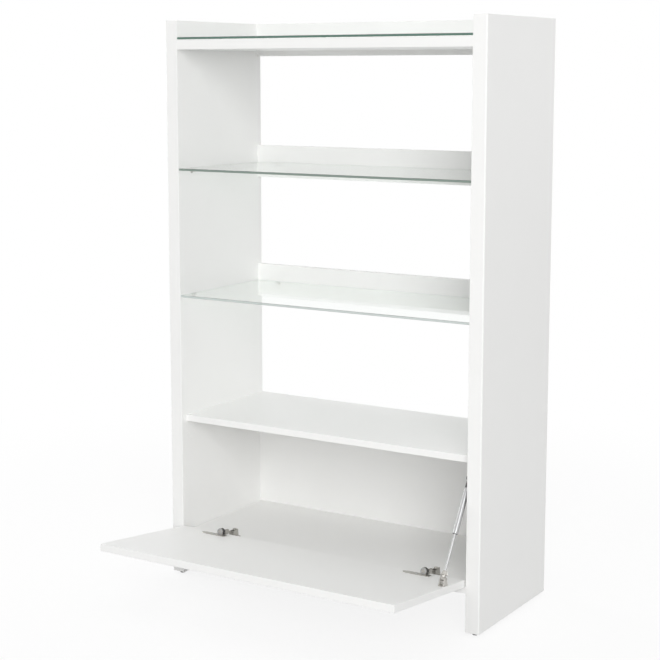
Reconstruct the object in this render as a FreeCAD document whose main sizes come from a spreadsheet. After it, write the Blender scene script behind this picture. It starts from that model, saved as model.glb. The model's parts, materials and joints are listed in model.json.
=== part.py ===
import FreeCAD, Part
import math
import os
import re
import Sketcher
from FreeCAD import Placement, Rotation, Vector

# Free-standing white bookcase: two thick sides, a glass-topped board, two loose glass shelves in front of
# an open back with three rails, and a lower cupboard whose drop-down flap is held by a gas strut.
# X runs to the right, Y to the back, Z up. The flap is drawn open, and the origin is on the floor, in the
# middle of the room that the case takes with its flap open.

doc = FreeCAD.newDocument("Bookcase")
sheet = doc.addObject("Spreadsheet::Sheet", "Sizes")

SIZES = {
    # Case
    "body_width": 1000,
    "body_depth": 410,
    "body_height": 1600,
    "side_thick": 40,
    "side_lift": 8,
    "arris_round": 4,
    "edge_round": 1,
    "front_inset": 0.5,
    # Boards, rails and back
    "board_thick": 19,
    "bottom_level": 112.5,
    "fixed_shelf_level": 457.5,
    "top_board_thick": 27,
    "top_glass_drop": 46,
    "rail_tall": 95,
    "rail_thick": 18,
    "rail_rise": 50,
    "back_thick": 16,
    # Glass
    "glass_thick": 6,
    "glass_round": 0.8,
    "glass_gap": 1,
    "upper_shelf_share": 0.67705,
    "lower_shelf_share": 0.33158,
    "pad_thick": 1,
    "pad_radius": 4,
    "top_pad_side_in": 120,
    "top_pad_edge_in": 40,
    # Shelf supports
    "support_stem_radius": 2.5,
    "support_stem_long": 9,
    "support_collar_radius": 4.5,
    "support_collar_thick": 1.5,
    "support_tongue_long": 12,
    "support_tongue_wide": 9,
    "support_tongue_thick": 4,
    "side_support_in": 60,
    "rail_support_in": 76,
    "hole_play": 0.05,
    # Cam connectors and dowels
    "cam_radius": 7.5,
    "cam_over_bolt": 4.5,
    "cam_in": 34,
    "cam_slot_wide": 2,
    "cam_slot_deep": 1.5,
    "bolt_radius": 3.5,
    "bolt_neck_radius": 2.5,
    "bolt_head_long": 3,
    "bolt_neck_long": 4,
    "bolt_thread_radius": 3,
    "bolt_thread_long": 11,
    "bore_play": 0.3,
    "dowel_radius": 4,
    "dowel_half_long": 16,
    "board_cam_in": 60,
    "board_dowel_in": 110,
    "rail_cam_up": 60,
    "rail_dowel_up": 28,
    "back_cam_up": 80,
    "back_dowel_up": 240,
    # Flap
    "flap_thick": 20,
    "flap_lip": 29.2,
    "flap_side_gap": 2,
    "flap_shelf_gap": 1.5,
    "flap_open_turn": 83.3,
    # Hinges
    "hinge_in": 129,
    "pin_drop": 4.5,
    "pin_sink": 1.3,
    "pin_radius": 1.5,
    "pin_head_radius": 2.5,
    "pin_head_thick": 0.6,
    "pin_play": 0.05,
    "knuckle_radius": 4,
    "knuckle_gap": 0.4,
    "knuckle_room": 0.6,
    "leaf_thick": 2,
    "leaf_centre_up": 34,
    "leaf_half_tall": 10,
    "leaf_tip_half_tall": 3,
    "leaf_left": 22,
    "leaf_taper": 14,
    "leaf_right": 44,
    "barrel_across": 23,
    "strap_half_wide": 5,
    "barrel_radius": 8.5,
    "barrel_low": 16,
    "barrel_high": 32,
    "barrel_dish_radius": 6,
    "barrel_dish_deep": 1,
    "barrel_screw_radius": 2.8,
    "barrel_screw_long": 8,
    "screw_slot_wide": 0.8,
    "screw_slot_deep": 0.7,
    "base_half_wide": 15,
    "base_back": 57,
    "base_mouth_back": 23.5,
    "arm_half_wide": 7.5,
    "arm_front": 24,
    "arm_nose_up": 18,
    "arm_tower_front": 41,
    "arm_tower_up": 27.5,
    "arm_tower_top": 7,
    "arm_tail_back": 56,
    "wood_screw_radius": 1.6,
    "wood_screw_long": 13,
    "wood_screw_head_radius": 3.1,
    "wood_screw_head_deep": 1.7,
    "flap_screw_left": 8,
    "flap_screw_right": 38,
    "base_screw_out": 11,
    "base_screw_back": 44,
    # Gas strut
    "strut_wall_gap": 13,
    "strut_back": 42,
    "strut_drop": 45.5,
    "strut_foot_up": 102,
    "strut_foot_lift": 18,
    "tube_radius": 7.5,
    "tube_wall": 1.2,
    "tube_start": 28,
    "tube_close_gap": 3.3,
    "spigot_long": 8,
    "socket_head_radius": 7.2,
    "socket_half_wide": 6.5,
    "socket_neck_radius": 6,
    "socket_dimple_deep": 3,
    "gland_long": 6,
    "rod_radius": 3,
    "piston_long": 8,
    "piston_play": 0.1,
    "piston_close_gap": 1.3,
    "eye_radius": 5.5,
    "eye_half_wide": 4.5,
    "eye_neck_radius": 4.2,
    "eye_neck_long": 19,
    "eye_grip": 8,
    "stud_radius": 3,
    "stud_room": 0.3,
    "plate_thick": 2,
    "plate_half_back": 20,
    "plate_up": 12,
    "plate_down": 16,
    "plate_screw_out": 14,
    "plate_screw_up": 6,
    "plate_screw_down": 10,
    "foot_half_wide": 8,
    "foot_half_long": 13,
    "foot_thick": 3,
    "ear_thick": 3,
    "ear_half_base": 11,
    "ear_half_top": 4.5,
    "ear_over_pin": 5,
    "foot_screw_up": 9,
    "foot_pin_radius": 3,
    # Levelling feet
    "glide_radius": 7.5,
    "glide_tall": 6.5,
    "glide_edge": 1.5,
    "glide_edge_in": 20,
    "stem_radius": 4,
    "stem_long": 24,
    "insert_radius": 6,
    "insert_long": 22,
    # One overrun serves every cut
    "over_run": 2,
}

for line, (word, number) in enumerate(SIZES.items(), start=1):
    sheet.set(f"A{line}", word)
    sheet.set(f"B{line}", str(number))
    sheet.setAlias(f"B{line}", word)
doc.recompute()

# Levels and faces worked out from the sizes, as formulas of the sheet's words
HALF_WIDTH = "body_width / 2"
HALF_DEPTH = "body_depth / 2"
INNER_HALF = "(body_width / 2 - side_thick)"
FRONT = "(front_inset - body_depth / 2)"
RAIL_FRONT = "(body_depth / 2 - rail_thick)"
BOTTOM_TOP = "(bottom_level + board_thick)"
TOP_GLASS_LEVEL = "(body_height - top_glass_drop - glass_thick)"
TOP_BOARD_TOP = f"({TOP_GLASS_LEVEL} - pad_thick)"
TOP_BOARD_LEVEL = f"({TOP_BOARD_TOP} - top_board_thick)"
TOP_RAIL_LEVEL = "(body_height - rail_tall)"
FIXED_SHELF_TOP = "(fixed_shelf_level + board_thick)"
OPEN_TALL = f"({TOP_BOARD_LEVEL} - {FIXED_SHELF_TOP})"
UPPER_SHELF_LEVEL = f"({FIXED_SHELF_TOP} + {OPEN_TALL} * upper_shelf_share)"
LOWER_SHELF_LEVEL = f"({FIXED_SHELF_TOP} + {OPEN_TALL} * lower_shelf_share)"
UPPER_RAIL_LEVEL = f"({UPPER_SHELF_LEVEL} + glass_thick + rail_rise - rail_tall)"
LOWER_RAIL_LEVEL = f"({LOWER_SHELF_LEVEL} + glass_thick + rail_rise - rail_tall)"
SHELF_FRONT = f"({FRONT} + flap_thick + flap_shelf_gap)"

# The flap turns about its hinge pins, and is drawn standing closed in a frame on their axis
PIN_BACK = FRONT
PIN_UP = f"({BOTTOM_TOP} - pin_sink)"
FLAP_LONG = f"({FIXED_SHELF_TOP} + flap_lip - {PIN_UP} - pin_drop)"
OPEN_SINE, OPEN_COSINE = "sin(flap_open_turn)", "cos(flap_open_turn)"
FLAP_ROUND = f"(pin_drop + {FLAP_LONG} - edge_round)"
FLAP_TIP = f"({PIN_BACK} + edge_round * ({OPEN_COSINE} - 1) - {FLAP_ROUND} * {OPEN_SINE})"
CASE_MIDDLE = f"(({FLAP_TIP} + {HALF_DEPTH}) / 2)"

# The gas strut runs from a pin in the foot on the flap to a stud on the right side
STRUT_X = f"({INNER_HALF} - strut_wall_gap)"
STUD_BACK = "(strut_back - body_depth / 2)"
STUD_UP = "(fixed_shelf_level - strut_drop)"
FOOT_DEPTH = "(flap_thick + strut_foot_lift)"
FOOT_RISE = "(pin_drop + strut_foot_up)"
FOOT_BACK = f"({PIN_BACK} + {FOOT_DEPTH} * {OPEN_COSINE} - {FOOT_RISE} * {OPEN_SINE})"
FOOT_UP = f"({PIN_UP} + {FOOT_DEPTH} * {OPEN_SINE} + {FOOT_RISE} * {OPEN_COSINE})"
OPEN_RUN, OPEN_RISE = f"({STUD_BACK} - {FOOT_BACK})", f"({STUD_UP} - {FOOT_UP})"
STRUT_OPEN = f"sqrt({OPEN_RUN} ^ 2 + {OPEN_RISE} ^ 2)"
STRUT_LEAN = f"(-atan2({OPEN_RUN}; {OPEN_RISE}))"
CLOSED_RUN = f"({STUD_BACK} - {PIN_BACK} - {FOOT_DEPTH})"
CLOSED_RISE = f"({STUD_UP} - {PIN_UP} - {FOOT_RISE})"
STRUT_CLOSED = f"sqrt({CLOSED_RUN} ^ 2 + {CLOSED_RISE} ^ 2)"
CLOSED_LEAN = f"(-atan2({CLOSED_RUN}; {CLOSED_RISE}))"
TUBE_END = f"({STRUT_CLOSED} - eye_neck_long - tube_close_gap)"
ROD_END = f"({STRUT_CLOSED} - tube_start - spigot_long - piston_close_gap)"

nodes = {}
holes = {}
made = 0


def spell(formula):
    """A formula with each of the sheet's words written as the sheet wants it."""
    text = re.sub(r"(sin|cos)\((\w+)\)", r"\1(\2 * 1 deg)", str(formula))
    return re.sub(r"[a-z]+(?:_[a-z]+)+", lambda found: "Sizes." + found.group(0), text)


def worth(formula):
    """The number that a formula gives now."""
    answer = sheet.evalExpression(spell(formula))
    return float(getattr(answer, "Value", answer))


def bind(thing, slot, formula):
    thing.setExpression(slot, spell(formula))


def fresh(kind, name):
    global made
    made += 1
    return doc.addObject(kind, f"{name}_{made}")


def put(thing, x, y, z, turn=None):
    """Gives a thing its place, with a fixed turn."""
    thing.Placement = Placement(Vector(0, 0, 0), turn or Rotation())
    for axis, formula in zip("xyz", (x, y, z)):
        bind(thing, f"Placement.Base.{axis}", formula)
    return thing


def several(name, shapes):
    bundle = fresh("Part::Compound", name)
    bundle.Links = shapes
    return bundle


def move(shape, x, y, z, turn=None):
    """Moves a shape that already has a place of its own."""
    return put(several("moved", [shape]), x, y, z, turn)


def lean(shape, x, y, z, angle):
    """Moves a shape and turns it about the X direction by an angle formula."""
    moved = move(shape, x, y, z, Rotation(Vector(1, 0, 0), 45))
    bind(moved, "Placement.Rotation.Angle", angle)
    return moved


def block(name, x, y, z):
    """A box between two formulas along each axis."""
    box = fresh("Part::Box", name)
    for slot, (low, high) in zip(("Length", "Width", "Height"), (x, y, z)):
        bind(box, slot, f"({high}) - ({low})")
    return put(box, x[0], y[0], z[0])


ALONG = {
    "X": Rotation(Vector(0, 1, 0), 90),
    "Y": Rotation(Vector(1, 0, 0), -90),
    "Z": Rotation(),
}


def lay(shape, along, start, end, first, second):
    """Lays a round shape along an axis; first and second are its places on the other two."""
    bind(shape, "Height", f"({end}) - ({start})")
    places = {"X": (start, first, second), "Y": (first, start, second), "Z": (first, second, start)}
    return put(shape, *places[along], ALONG[along])


def rod(name, along, radius, start, end, first=0, second=0):
    shape = fresh("Part::Cylinder", name)
    bind(shape, "Radius", radius)
    return lay(shape, along, start, end, first, second)


def cone(name, along, radii, start, end, first=0, second=0):
    shape = fresh("Part::Cone", name)
    bind(shape, "Radius1", radii[0])
    bind(shape, "Radius2", radii[1])
    return lay(shape, along, start, end, first, second)


def join(name, shapes):
    whole = fresh("Part::MultiFuse", name)
    whole.Shapes = shapes
    return whole


def minus(name, base, tools):
    rest = fresh("Part::Cut", name)
    rest.Base = base
    rest.Tool = join(f"{name}_tools", tools) if len(tools) > 1 else tools[0]
    return rest


def limit(sketch, constraint, formula):
    number = sketch.addConstraint(constraint)
    bind(sketch, f"Constraints[{number}]", formula)


def body_sketch(name, plane, level):
    """A new body with a sketch on one of its origin planes, moved along its normal to a level."""
    body = fresh("PartDesign::Body", name)
    sketch = body.newObject("Sketcher::SketchObject", f"{name}_outline_{made}")
    flat = next(feature for feature in body.Origin.OriginFeatures if feature.Role == plane)
    sketch.AttachmentSupport = [(flat, "")]
    sketch.MapMode = "FlatFace"
    bind(sketch, "AttachmentOffset.Base.z", level)
    return body, sketch


def pad(body, sketch, length):
    solid = body.newObject("PartDesign::Pad", f"{sketch.Name}_pad")
    solid.Profile = sketch
    bind(solid, "Length", length)
    return body


def rounded(name, plane, across, up, through, rounds):
    """A board: a rectangle with four rounded corners in a plane, padded between two levels.

    The corners and their rounds run anticlockwise from the one where both are lowest.
    """
    body, sketch = body_sketch(name, plane, through[0])
    low_a, high_a, low_b, high_b = (worth(formula) for formula in (*across, *up))
    radii = [worth(formula) for formula in rounds]
    corners = [(low_a, low_b), (high_a, low_b), (high_a, high_b), (low_a, high_b)]
    ways = [Vector(1, 0, 0), Vector(0, 1, 0), Vector(-1, 0, 0), Vector(0, -1, 0)]
    points = [Vector(a, b, 0) for a, b in corners]
    for i, way in enumerate(ways):
        after = (i + 1) % 4
        sketch.addGeometry(Part.LineSegment(points[i] + way * radii[i], points[after] - way * radii[after]))
    for i, way in enumerate(ways):
        middle = points[i] + (way - ways[i - 1]) * radii[i]
        begin = math.pi + i * math.pi / 2
        ring = Part.Circle(middle, Vector(0, 0, 1), radii[i])
        sketch.addGeometry(Part.ArcOfCircle(ring, begin, begin + math.pi / 2))
    for i in range(4):
        sketch.addConstraint(Sketcher.Constraint("Vertical" if i % 2 else "Horizontal", i))
        sketch.addConstraint(Sketcher.Constraint("Tangent", 4 + i, 2, i, 1))
        sketch.addConstraint(Sketcher.Constraint("Tangent", (i - 1) % 4, 2, 4 + i, 1))
        limit(sketch, Sketcher.Constraint("Radius", 4 + i, radii[i]), rounds[i])
    edges = (("DistanceY", up[0]), ("DistanceX", across[1]), ("DistanceY", up[1]), ("DistanceX", across[0]))
    for i, (kind, formula) in enumerate(edges):
        limit(sketch, Sketcher.Constraint(kind, -1, 1, i, 1, worth(formula)), formula)
    return pad(body, sketch, f"({through[1]}) - ({through[0]})")


def prism(name, plane, corners, through):
    """A straight-edged outline in a plane, padded between two levels."""
    body, sketch = body_sketch(name, plane, through[0])
    points = [Vector(worth(a), worth(b), 0) for a, b in corners]
    for i, point in enumerate(points):
        sketch.addGeometry(Part.LineSegment(point, points[(i + 1) % len(points)]))
    for i, (a, b) in enumerate(corners):
        sketch.addConstraint(Sketcher.Constraint("Coincident", i, 2, (i + 1) % len(points), 1))
        limit(sketch, Sketcher.Constraint("DistanceX", -1, 1, i, 1, points[i].x), a)
        limit(sketch, Sketcher.Constraint("DistanceY", -1, 1, i, 1, points[i].y), b)
    return pad(body, sketch, f"({through[1]}) - ({through[0]})")


def drill(node, cutter):
    """Asks for a hole in a sub-part that is made later."""
    holes.setdefault(node, []).append(cutter)


def keep(node, shape):
    """Names a finished sub-part, cuts the holes asked of it and moves it back to the case's place."""
    if node in holes:
        shape = minus(node, shape, holes[node])
    nodes[node] = move(shape, 0, f"-{CASE_MIDDLE}", 0)
    nodes[node].Label = node


def connector_bolt():
    """A cam bolt along +X from the side's face: thread in the side, then shaft, neck and head."""
    neck_start = "cam_in - bolt_head_long / 2 - bolt_neck_long"
    head_start = "cam_in - bolt_head_long / 2"
    head_end = "cam_in + bolt_head_long / 2"
    lengths = [
        rod("thread", "X", "bolt_thread_radius", "-bolt_thread_long", 0),
        rod("shaft", "X", "bolt_radius", 0, neck_start),
        rod("neck", "X", "bolt_neck_radius", neck_start, head_start),
        rod("head", "X", "bolt_radius", head_start, head_end),
    ]
    return join("connector_bolt", lengths)


def connector_cam(face):
    """A round cam whose slotted outer face lies at minus face, with a bore for the bolt."""
    low = f"-({face})"
    disc = rod("cam", "Z", "cam_radius", low, "cam_over_bolt", "cam_in")
    bore_start = "cam_in - cam_radius - over_run"
    bore = rod("cam_bore", "X", "bolt_radius + bore_play", bore_start, "cam_in + cam_radius / 2")
    long_way, wide_way = ("-cam_radius / 2", "cam_radius / 2"), ("-cam_slot_wide / 2", "cam_slot_wide / 2")
    slots = []
    for x_way, y_way in ((long_way, wide_way), (wide_way, long_way)):
        x = [f"cam_in + ({end})" for end in x_way]
        slots.append(block("cam_slot", x, y_way, (f"{low} - over_run", f"{low} + cam_slot_deep")))
    return minus("connector_cam", disc, [bore, *slots])


def connector_room(face):
    """The room for a bolt's head and a cam in the end of a board."""
    pocket = (f"-({face}) - over_run", "cam_over_bolt + hole_play")
    rooms = [
        rod("end_bore", "X", "bolt_radius + bore_play", "-over_run", "cam_in"),
        rod("cam_pocket", "Z", "cam_radius + hole_play", *pocket, "cam_in"),
    ]
    return join("connector_room", rooms)


def thread_room():
    radius = "bolt_thread_radius + hole_play"
    return rod("thread_room", "X", radius, "-bolt_thread_long - bore_play", "over_run")


# From a side's face, +X points into the case. A lying board has its cams in its back face.
SIDES = {"left_side_panel": -1, "right_side_panel": 1}
INWARDS = {-1: Rotation(), 1: Rotation(Vector(0, 0, 1), 180)}
LYING = Rotation(Vector(1, 0, 0), 90)
bolts, cams, dowels = [], [], []


def connect(board, y, z, face, lying=False):
    """A cam connector at both ends of a board."""
    for side, sign in SIDES.items():
        turn = LYING.multiply(INWARDS[sign]) if lying else INWARDS[sign]
        place = (f"{sign} * {INNER_HALF}", y, z, turn)
        bolts.append(move(connector_bolt(), *place))
        cams.append(move(connector_cam(face), *place))
        drill(board, move(connector_room(face), *place))
        drill(side, move(thread_room(), *place))


def peg(board, y, z):
    """A wooden dowel at both ends of a board."""
    for side, sign in SIDES.items():
        start, end = f"{sign} * {INNER_HALF} - dowel_half_long", f"{sign} * {INNER_HALF} + dowel_half_long"
        dowels.append(rod("dowel", "X", "dowel_radius", start, end, y, z))
        room = (f"{start} - bore_play", f"{end} + bore_play")
        for node in (board, side):
            drill(node, rod("dowel_room", "X", "dowel_radius + hole_play", *room, y, z))


# Where the boards, rails and back are joined to the sides
FLAT_BOARDS = {
    "top_board": (TOP_BOARD_LEVEL, "top_board_thick"),
    "fixed_shelf": ("fixed_shelf_level", "board_thick"),
    "bottom_board": ("bottom_level", "board_thick"),
}
for board, (level, thick) in FLAT_BOARDS.items():
    middle = f"{level} + {thick} / 2"
    connect(board, "board_cam_in - body_depth / 2", middle, f"{thick} / 2")
    connect(board, "body_depth / 2 - board_cam_in", middle, f"{thick} / 2")
    peg(board, "board_dowel_in - body_depth / 2", middle)
RAILS = {
    "top_back_rail": TOP_RAIL_LEVEL,
    "upper_back_rail": UPPER_RAIL_LEVEL,
    "lower_back_rail": LOWER_RAIL_LEVEL,
}
RAIL_MIDDLE = "(body_depth / 2 - rail_thick / 2)"
for rail, level in RAILS.items():
    connect(rail, RAIL_MIDDLE, f"{level} + rail_cam_up", "rail_thick / 2", lying=True)
    peg(rail, RAIL_MIDDLE, f"{level} + rail_dowel_up")
BACK_MIDDLE = "(body_depth / 2 - back_thick / 2)"
connect("lower_back_panel", BACK_MIDDLE, f"{BOTTOM_TOP} + back_cam_up", "back_thick / 2", lying=True)
peg("lower_back_panel", BACK_MIDDLE, f"{BOTTOM_TOP} + back_dowel_up")
keep("connector_bolts", several("connector_bolts", bolts))
keep("connector_cams", several("connector_cams", cams))
keep("dowels", several("dowels", dowels))


def support():
    """A shelf support along +X: stem in the wood, collar against it, and a tongue; their top is at zero."""
    middle = "-support_collar_radius"
    half_wide = "support_tongue_wide / 2"
    tongue = (("0", "support_tongue_long"), (f"-{half_wide}", half_wide), ("-support_tongue_thick", "0"))
    pieces = [
        rod("support_stem", "X", "support_stem_radius", "-support_stem_long", 0, 0, middle),
        rod("support_collar", "X", "support_collar_radius", 0, "support_collar_thick", 0, middle),
        block("support_tongue", *tongue),
    ]
    return join("support", pieces)


def support_room():
    radius, end = "support_stem_radius + hole_play", "-support_stem_long - bore_play"
    return rod("support_room", "X", radius, end, "over_run", 0, "-support_collar_radius")


OFF_RAIL = Rotation(Vector(0, 0, 1), -90)
PAD_OUT = "(support_tongue_long - pad_radius - support_collar_thick / 2)"
side_supports, rail_supports, support_pads = [], [], []
for rail, level in (("upper_back_rail", UPPER_SHELF_LEVEL), ("lower_back_rail", LOWER_SHELF_LEVEL)):
    seat = f"({level} - pad_thick)"
    for side, sign in SIDES.items():
        wall, front = f"{sign} * {INNER_HALF}", f"{FRONT} + side_support_in"
        side_supports.append(move(support(), wall, front, seat, INWARDS[sign]))
        drill(side, move(support_room(), wall, front, seat, INWARDS[sign]))
        along = f"{sign} * ({INNER_HALF} - rail_support_in)"
        rail_supports.append(move(support(), along, RAIL_FRONT, seat, OFF_RAIL))
        drill(rail, move(support_room(), along, RAIL_FRONT, seat, OFF_RAIL))
        for x, y in ((f"{wall} - {sign} * {PAD_OUT}", front), (along, f"{RAIL_FRONT} - {PAD_OUT}")):
            support_pads.append(rod("support_pad", "Z", "pad_radius", seat, level, x, y))
keep("side_shelf_supports", several("side_shelf_supports", side_supports))
keep("rail_shelf_supports", several("rail_shelf_supports", rail_supports))
keep("shelf_support_pads", several("shelf_support_pads", support_pads))

# Levelling feet: threaded insert in the side, steel stem, plastic glide
FEET = {
    "front_left": (-1, -1),
    "front_right": (1, -1),
    "back_left": (-1, 1),
    "back_right": (1, 1),
}
STEM_START = "glide_tall / 2"
STEM_END = "glide_tall / 2 + stem_long"
INSERT_END = "side_lift + insert_long"
inserts = []
for foot, (right, back) in FEET.items():
    spot = (f"{right} * (body_width / 2 - side_thick / 2)", f"{back} * (body_depth / 2 - glide_edge_in)")
    glide = [
        rod("glide", "Z", "glide_radius", "glide_edge", "glide_tall", *spot),
        cone("glide_edge", "Z", ("glide_radius - glide_edge", "glide_radius"), 0, "glide_edge", *spot),
    ]
    socket = rod("glide_socket", "Z", "stem_radius", STEM_START, "glide_tall + over_run", *spot)
    keep(f"{foot}_foot_glide", minus("glide", join("glide", glide), [socket]))
    keep(f"{foot}_foot_stem", rod("stem", "Z", "stem_radius", STEM_START, STEM_END, *spot))
    sleeve = rod("insert", "Z", "insert_radius", "side_lift", INSERT_END, *spot)
    through = ("side_lift - over_run", f"{INSERT_END} + over_run")
    inserts.append(minus("insert", sleeve, [rod("thread", "Z", "stem_radius + hole_play", *through, *spot)]))
    side = "right_side_panel" if right > 0 else "left_side_panel"
    insert_room = ("insert_radius + hole_play", "side_lift - over_run", INSERT_END)
    drill(side, rod("insert_room", "Z", *insert_room, *spot))
keep("foot_inserts", several("foot_inserts", inserts))

# Hinge frame: the origin is on the pin's axis at the middle of the hinge, +Y is the depth of the closed
# flap and +Z its height. The flap's half is turned open about the pin, and the cabinet's half isn't.
LEAF_FACE = "(flap_thick + leaf_thick)"
LEAF_UP = "(pin_drop + leaf_centre_up)"
HOOK_LOW = "(pin_drop - leaf_thick)"
BARREL_DEPTH = f"({LEAF_FACE} + barrel_radius)"
BARREL_TOP = "(pin_drop + barrel_high)"
BASE_TOP = "(pin_sink + leaf_thick)"
STRAP = ("barrel_across - strap_half_wide", "barrel_across + strap_half_wide")
BASE = ("barrel_across - base_half_wide", "barrel_across + base_half_wide")
FLAP_SCREWS = ("-flap_screw_left", "flap_screw_right")
BASE_SCREWS = ("barrel_across - base_screw_out", "barrel_across + base_screw_out")
HINGE_OUT = f"({INNER_HALF} - flap_side_gap - hinge_in)"
HINGES = {"left": f"-{HINGE_OUT}", "right": HINGE_OUT}


def past(ends, more):
    """The two ends of a stretch, each moved out by some more."""
    return f"{ends[0]} - {more}", f"{ends[1]} + {more}"


def cross_slot(x, y, face, reach):
    """A cross recess of a screw that stands upright with its head's face at a level."""
    deep = (f"({face}) - screw_slot_deep", f"({face}) + over_run")
    long_way, wide_way = (f"-({reach})", reach), ("-screw_slot_wide / 2", "screw_slot_wide / 2")
    slots = []
    for x_way, y_way in ((long_way, wide_way), (wide_way, long_way)):
        slots.append(
            block("slot", [f"({x}) + ({end})" for end in x_way], [f"({y}) + ({end})" for end in y_way], deep)
        )
    return slots


def wood_screw(x, y, face):
    """A countersunk wood screw that stands upright with its head's face at a level."""
    under_head, end = f"({face}) - wood_screw_head_deep", f"({face}) - wood_screw_long"
    radii = ("wood_screw_radius", "wood_screw_head_radius")
    shape = [
        cone("screw_head", "Z", radii, under_head, face, x, y),
        rod("screw_shank", "Z", "wood_screw_radius", end, under_head, x, y),
    ]
    return minus("screw", join("screw", shape), cross_slot(x, y, face, "wood_screw_head_radius / 2"))


def screw_room(x, y, face):
    """The room that a wood screw takes, with a little play."""
    under_head, end = f"({face}) - wood_screw_head_deep", f"({face}) - wood_screw_long - bore_play"
    radii = ("wood_screw_radius + hole_play", "wood_screw_head_radius + hole_play")
    shape = [
        cone("head_room", "Z", radii, under_head, face, x, y),
        rod("shank_room", "Z", radii[0], end, under_head, x, y),
    ]
    return join("screw_room", shape)


def on_flap(shape, x=0):
    """Turns a shape drawn in the hinge frame open with the flap."""
    return lean(shape, x, PIN_BACK, PIN_UP, "flap_open_turn")


def into_flap(shapes, x=0):
    """Lays upright screws down, so that they go into the flap's inner face; their y is minus the height."""
    return put(several("into_flap", shapes), x, 0, 0, Rotation(Vector(1, 0, 0), -90))


def flap_leaf():
    """The flap's leaf: a plate tapered at one end, a strap round the flap's edge and the middle knuckle."""
    low, high = f"{LEAF_UP} - leaf_half_tall", f"{LEAF_UP} + leaf_half_tall"
    corners = [
        ("-leaf_left", f"{LEAF_UP} - leaf_tip_half_tall"),
        ("leaf_taper - leaf_left", low),
        ("leaf_right", low),
        ("leaf_right", high),
        ("leaf_taper - leaf_left", high),
        ("-leaf_left", f"{LEAF_UP} + leaf_tip_half_tall"),
    ]
    pieces = [
        prism("leaf", "XZ_Plane", corners, (f"-{LEAF_FACE}", "-flap_thick")),
        block("strap", STRAP, ("flap_thick", LEAF_FACE), (HOOK_LOW, low)),
        block("hook", STRAP, ("0", LEAF_FACE), (HOOK_LOW, "pin_drop")),
        rod("knuckle", "X", "knuckle_radius", *STRAP),
    ]
    cuts = [rod("bore", "X", "pin_radius + pin_play", *past(STRAP, "over_run"))]
    cuts.append(into_flap([screw_room(x, f"-{LEAF_UP}", LEAF_FACE) for x in FLAP_SCREWS]))
    return minus("flap_leaf", join("flap_leaf", pieces), cuts)


def barrel():
    """The round housing on the flap's leaf, dished in its outer end."""
    low = "pin_drop + barrel_low"
    middle = ("barrel_across", BARREL_DEPTH)
    wide = ("barrel_across - barrel_radius", "barrel_across + barrel_radius")
    drum = rod("drum", "Z", "barrel_radius", low, BARREL_TOP, *middle)
    saddle = block("saddle", wide, (LEAF_FACE, BARREL_DEPTH), (low, BARREL_TOP))
    dish_low, past_top = f"{BARREL_TOP} - barrel_dish_deep", f"{BARREL_TOP} + over_run"
    screw_low, seat_radius = f"{BARREL_TOP} - barrel_screw_long", "barrel_screw_radius + hole_play"
    cuts = [
        rod("dish", "Z", "barrel_dish_radius", dish_low, past_top, *middle),
        rod("seat", "Z", seat_radius, screw_low, past_top, *middle),
    ]
    return minus("barrel", join("barrel", [drum, saddle]), cuts)


def barrel_screw():
    middle = ("barrel_across", BARREL_DEPTH)
    plug = rod("plug", "Z", "barrel_screw_radius", f"{BARREL_TOP} - barrel_screw_long", BARREL_TOP, *middle)
    return minus("barrel_screw", plug, cross_slot(*middle, BARREL_TOP, "barrel_screw_radius * 2 / 3"))


def cabinet_leaf():
    """The cabinet's half: two knuckles, a base on the board, and an arm behind the closed flap's barrel."""
    corners = [
        ("arm_front", "pin_sink"),
        ("arm_tail_back", "pin_sink"),
        ("arm_tower_front + arm_tower_top", "arm_tower_up"),
        ("arm_tower_front", "arm_tower_up"),
        ("arm_tower_front", "arm_nose_up"),
        ("arm_front", "arm_nose_up"),
    ]
    arm_wide = ("barrel_across - arm_half_wide", "barrel_across + arm_half_wide")
    pieces = [
        block("base", BASE, ("0", "base_back"), ("pin_sink", BASE_TOP)),
        rod("knuckles", "X", "knuckle_radius", *BASE),
        prism("arm", "YZ_Plane", corners, arm_wide),
    ]
    round_knuckle = past(("-knuckle_radius", "knuckle_radius"), "over_run")
    mouth = block("mouth", past(STRAP, "knuckle_gap"), (round_knuckle[0], "base_mouth_back"), round_knuckle)
    cuts = [mouth, rod("bore", "X", "pin_radius", *past(BASE, "over_run"))]
    cuts += [screw_room(x, "base_screw_back", BASE_TOP) for x in BASE_SCREWS]
    return minus("cabinet_leaf", join("cabinet_leaf", pieces), cuts)


def hinge_pin():
    shank = rod("pin", "X", "pin_radius", *BASE)
    head = rod("pin_head", "X", "pin_head_radius", BASE[1], f"{BASE[1]} + pin_head_thick")
    return join("pin", [shank, head])


def knuckle_notch():
    """The notch in the board's front corner that the knuckles turn in."""
    wide = past(BASE, "knuckle_room + pin_head_thick")
    deep = ("-knuckle_radius - over_run", "knuckle_radius + knuckle_room")
    return block("notch", wide, deep, ("-knuckle_radius - knuckle_room", "knuckle_radius + over_run"))


leaf_screws, base_screws, barrel_screws = [], [], []
for hand, middle in HINGES.items():
    spot = (middle, PIN_BACK, PIN_UP)
    keep(f"{hand}_hinge_flap_leaf", on_flap(flap_leaf(), middle))
    keep(f"{hand}_hinge_barrel", on_flap(barrel(), middle))
    keep(f"{hand}_hinge_cabinet_leaf", move(cabinet_leaf(), *spot))
    keep(f"{hand}_hinge_pin", move(hinge_pin(), *spot))
    barrel_screws.append(on_flap(barrel_screw(), middle))
    for x in FLAP_SCREWS:
        place = (x, f"-{LEAF_UP}", LEAF_FACE)
        leaf_screws.append(on_flap(into_flap([wood_screw(*place)]), middle))
        drill("flap_door", into_flap([screw_room(*place)], middle))
    for x in BASE_SCREWS:
        place = (x, "base_screw_back", BASE_TOP)
        base_screws.append(move(wood_screw(*place), *spot))
        drill("bottom_board", move(screw_room(*place), *spot))
    drill("bottom_board", move(knuckle_notch(), *spot))
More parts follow.
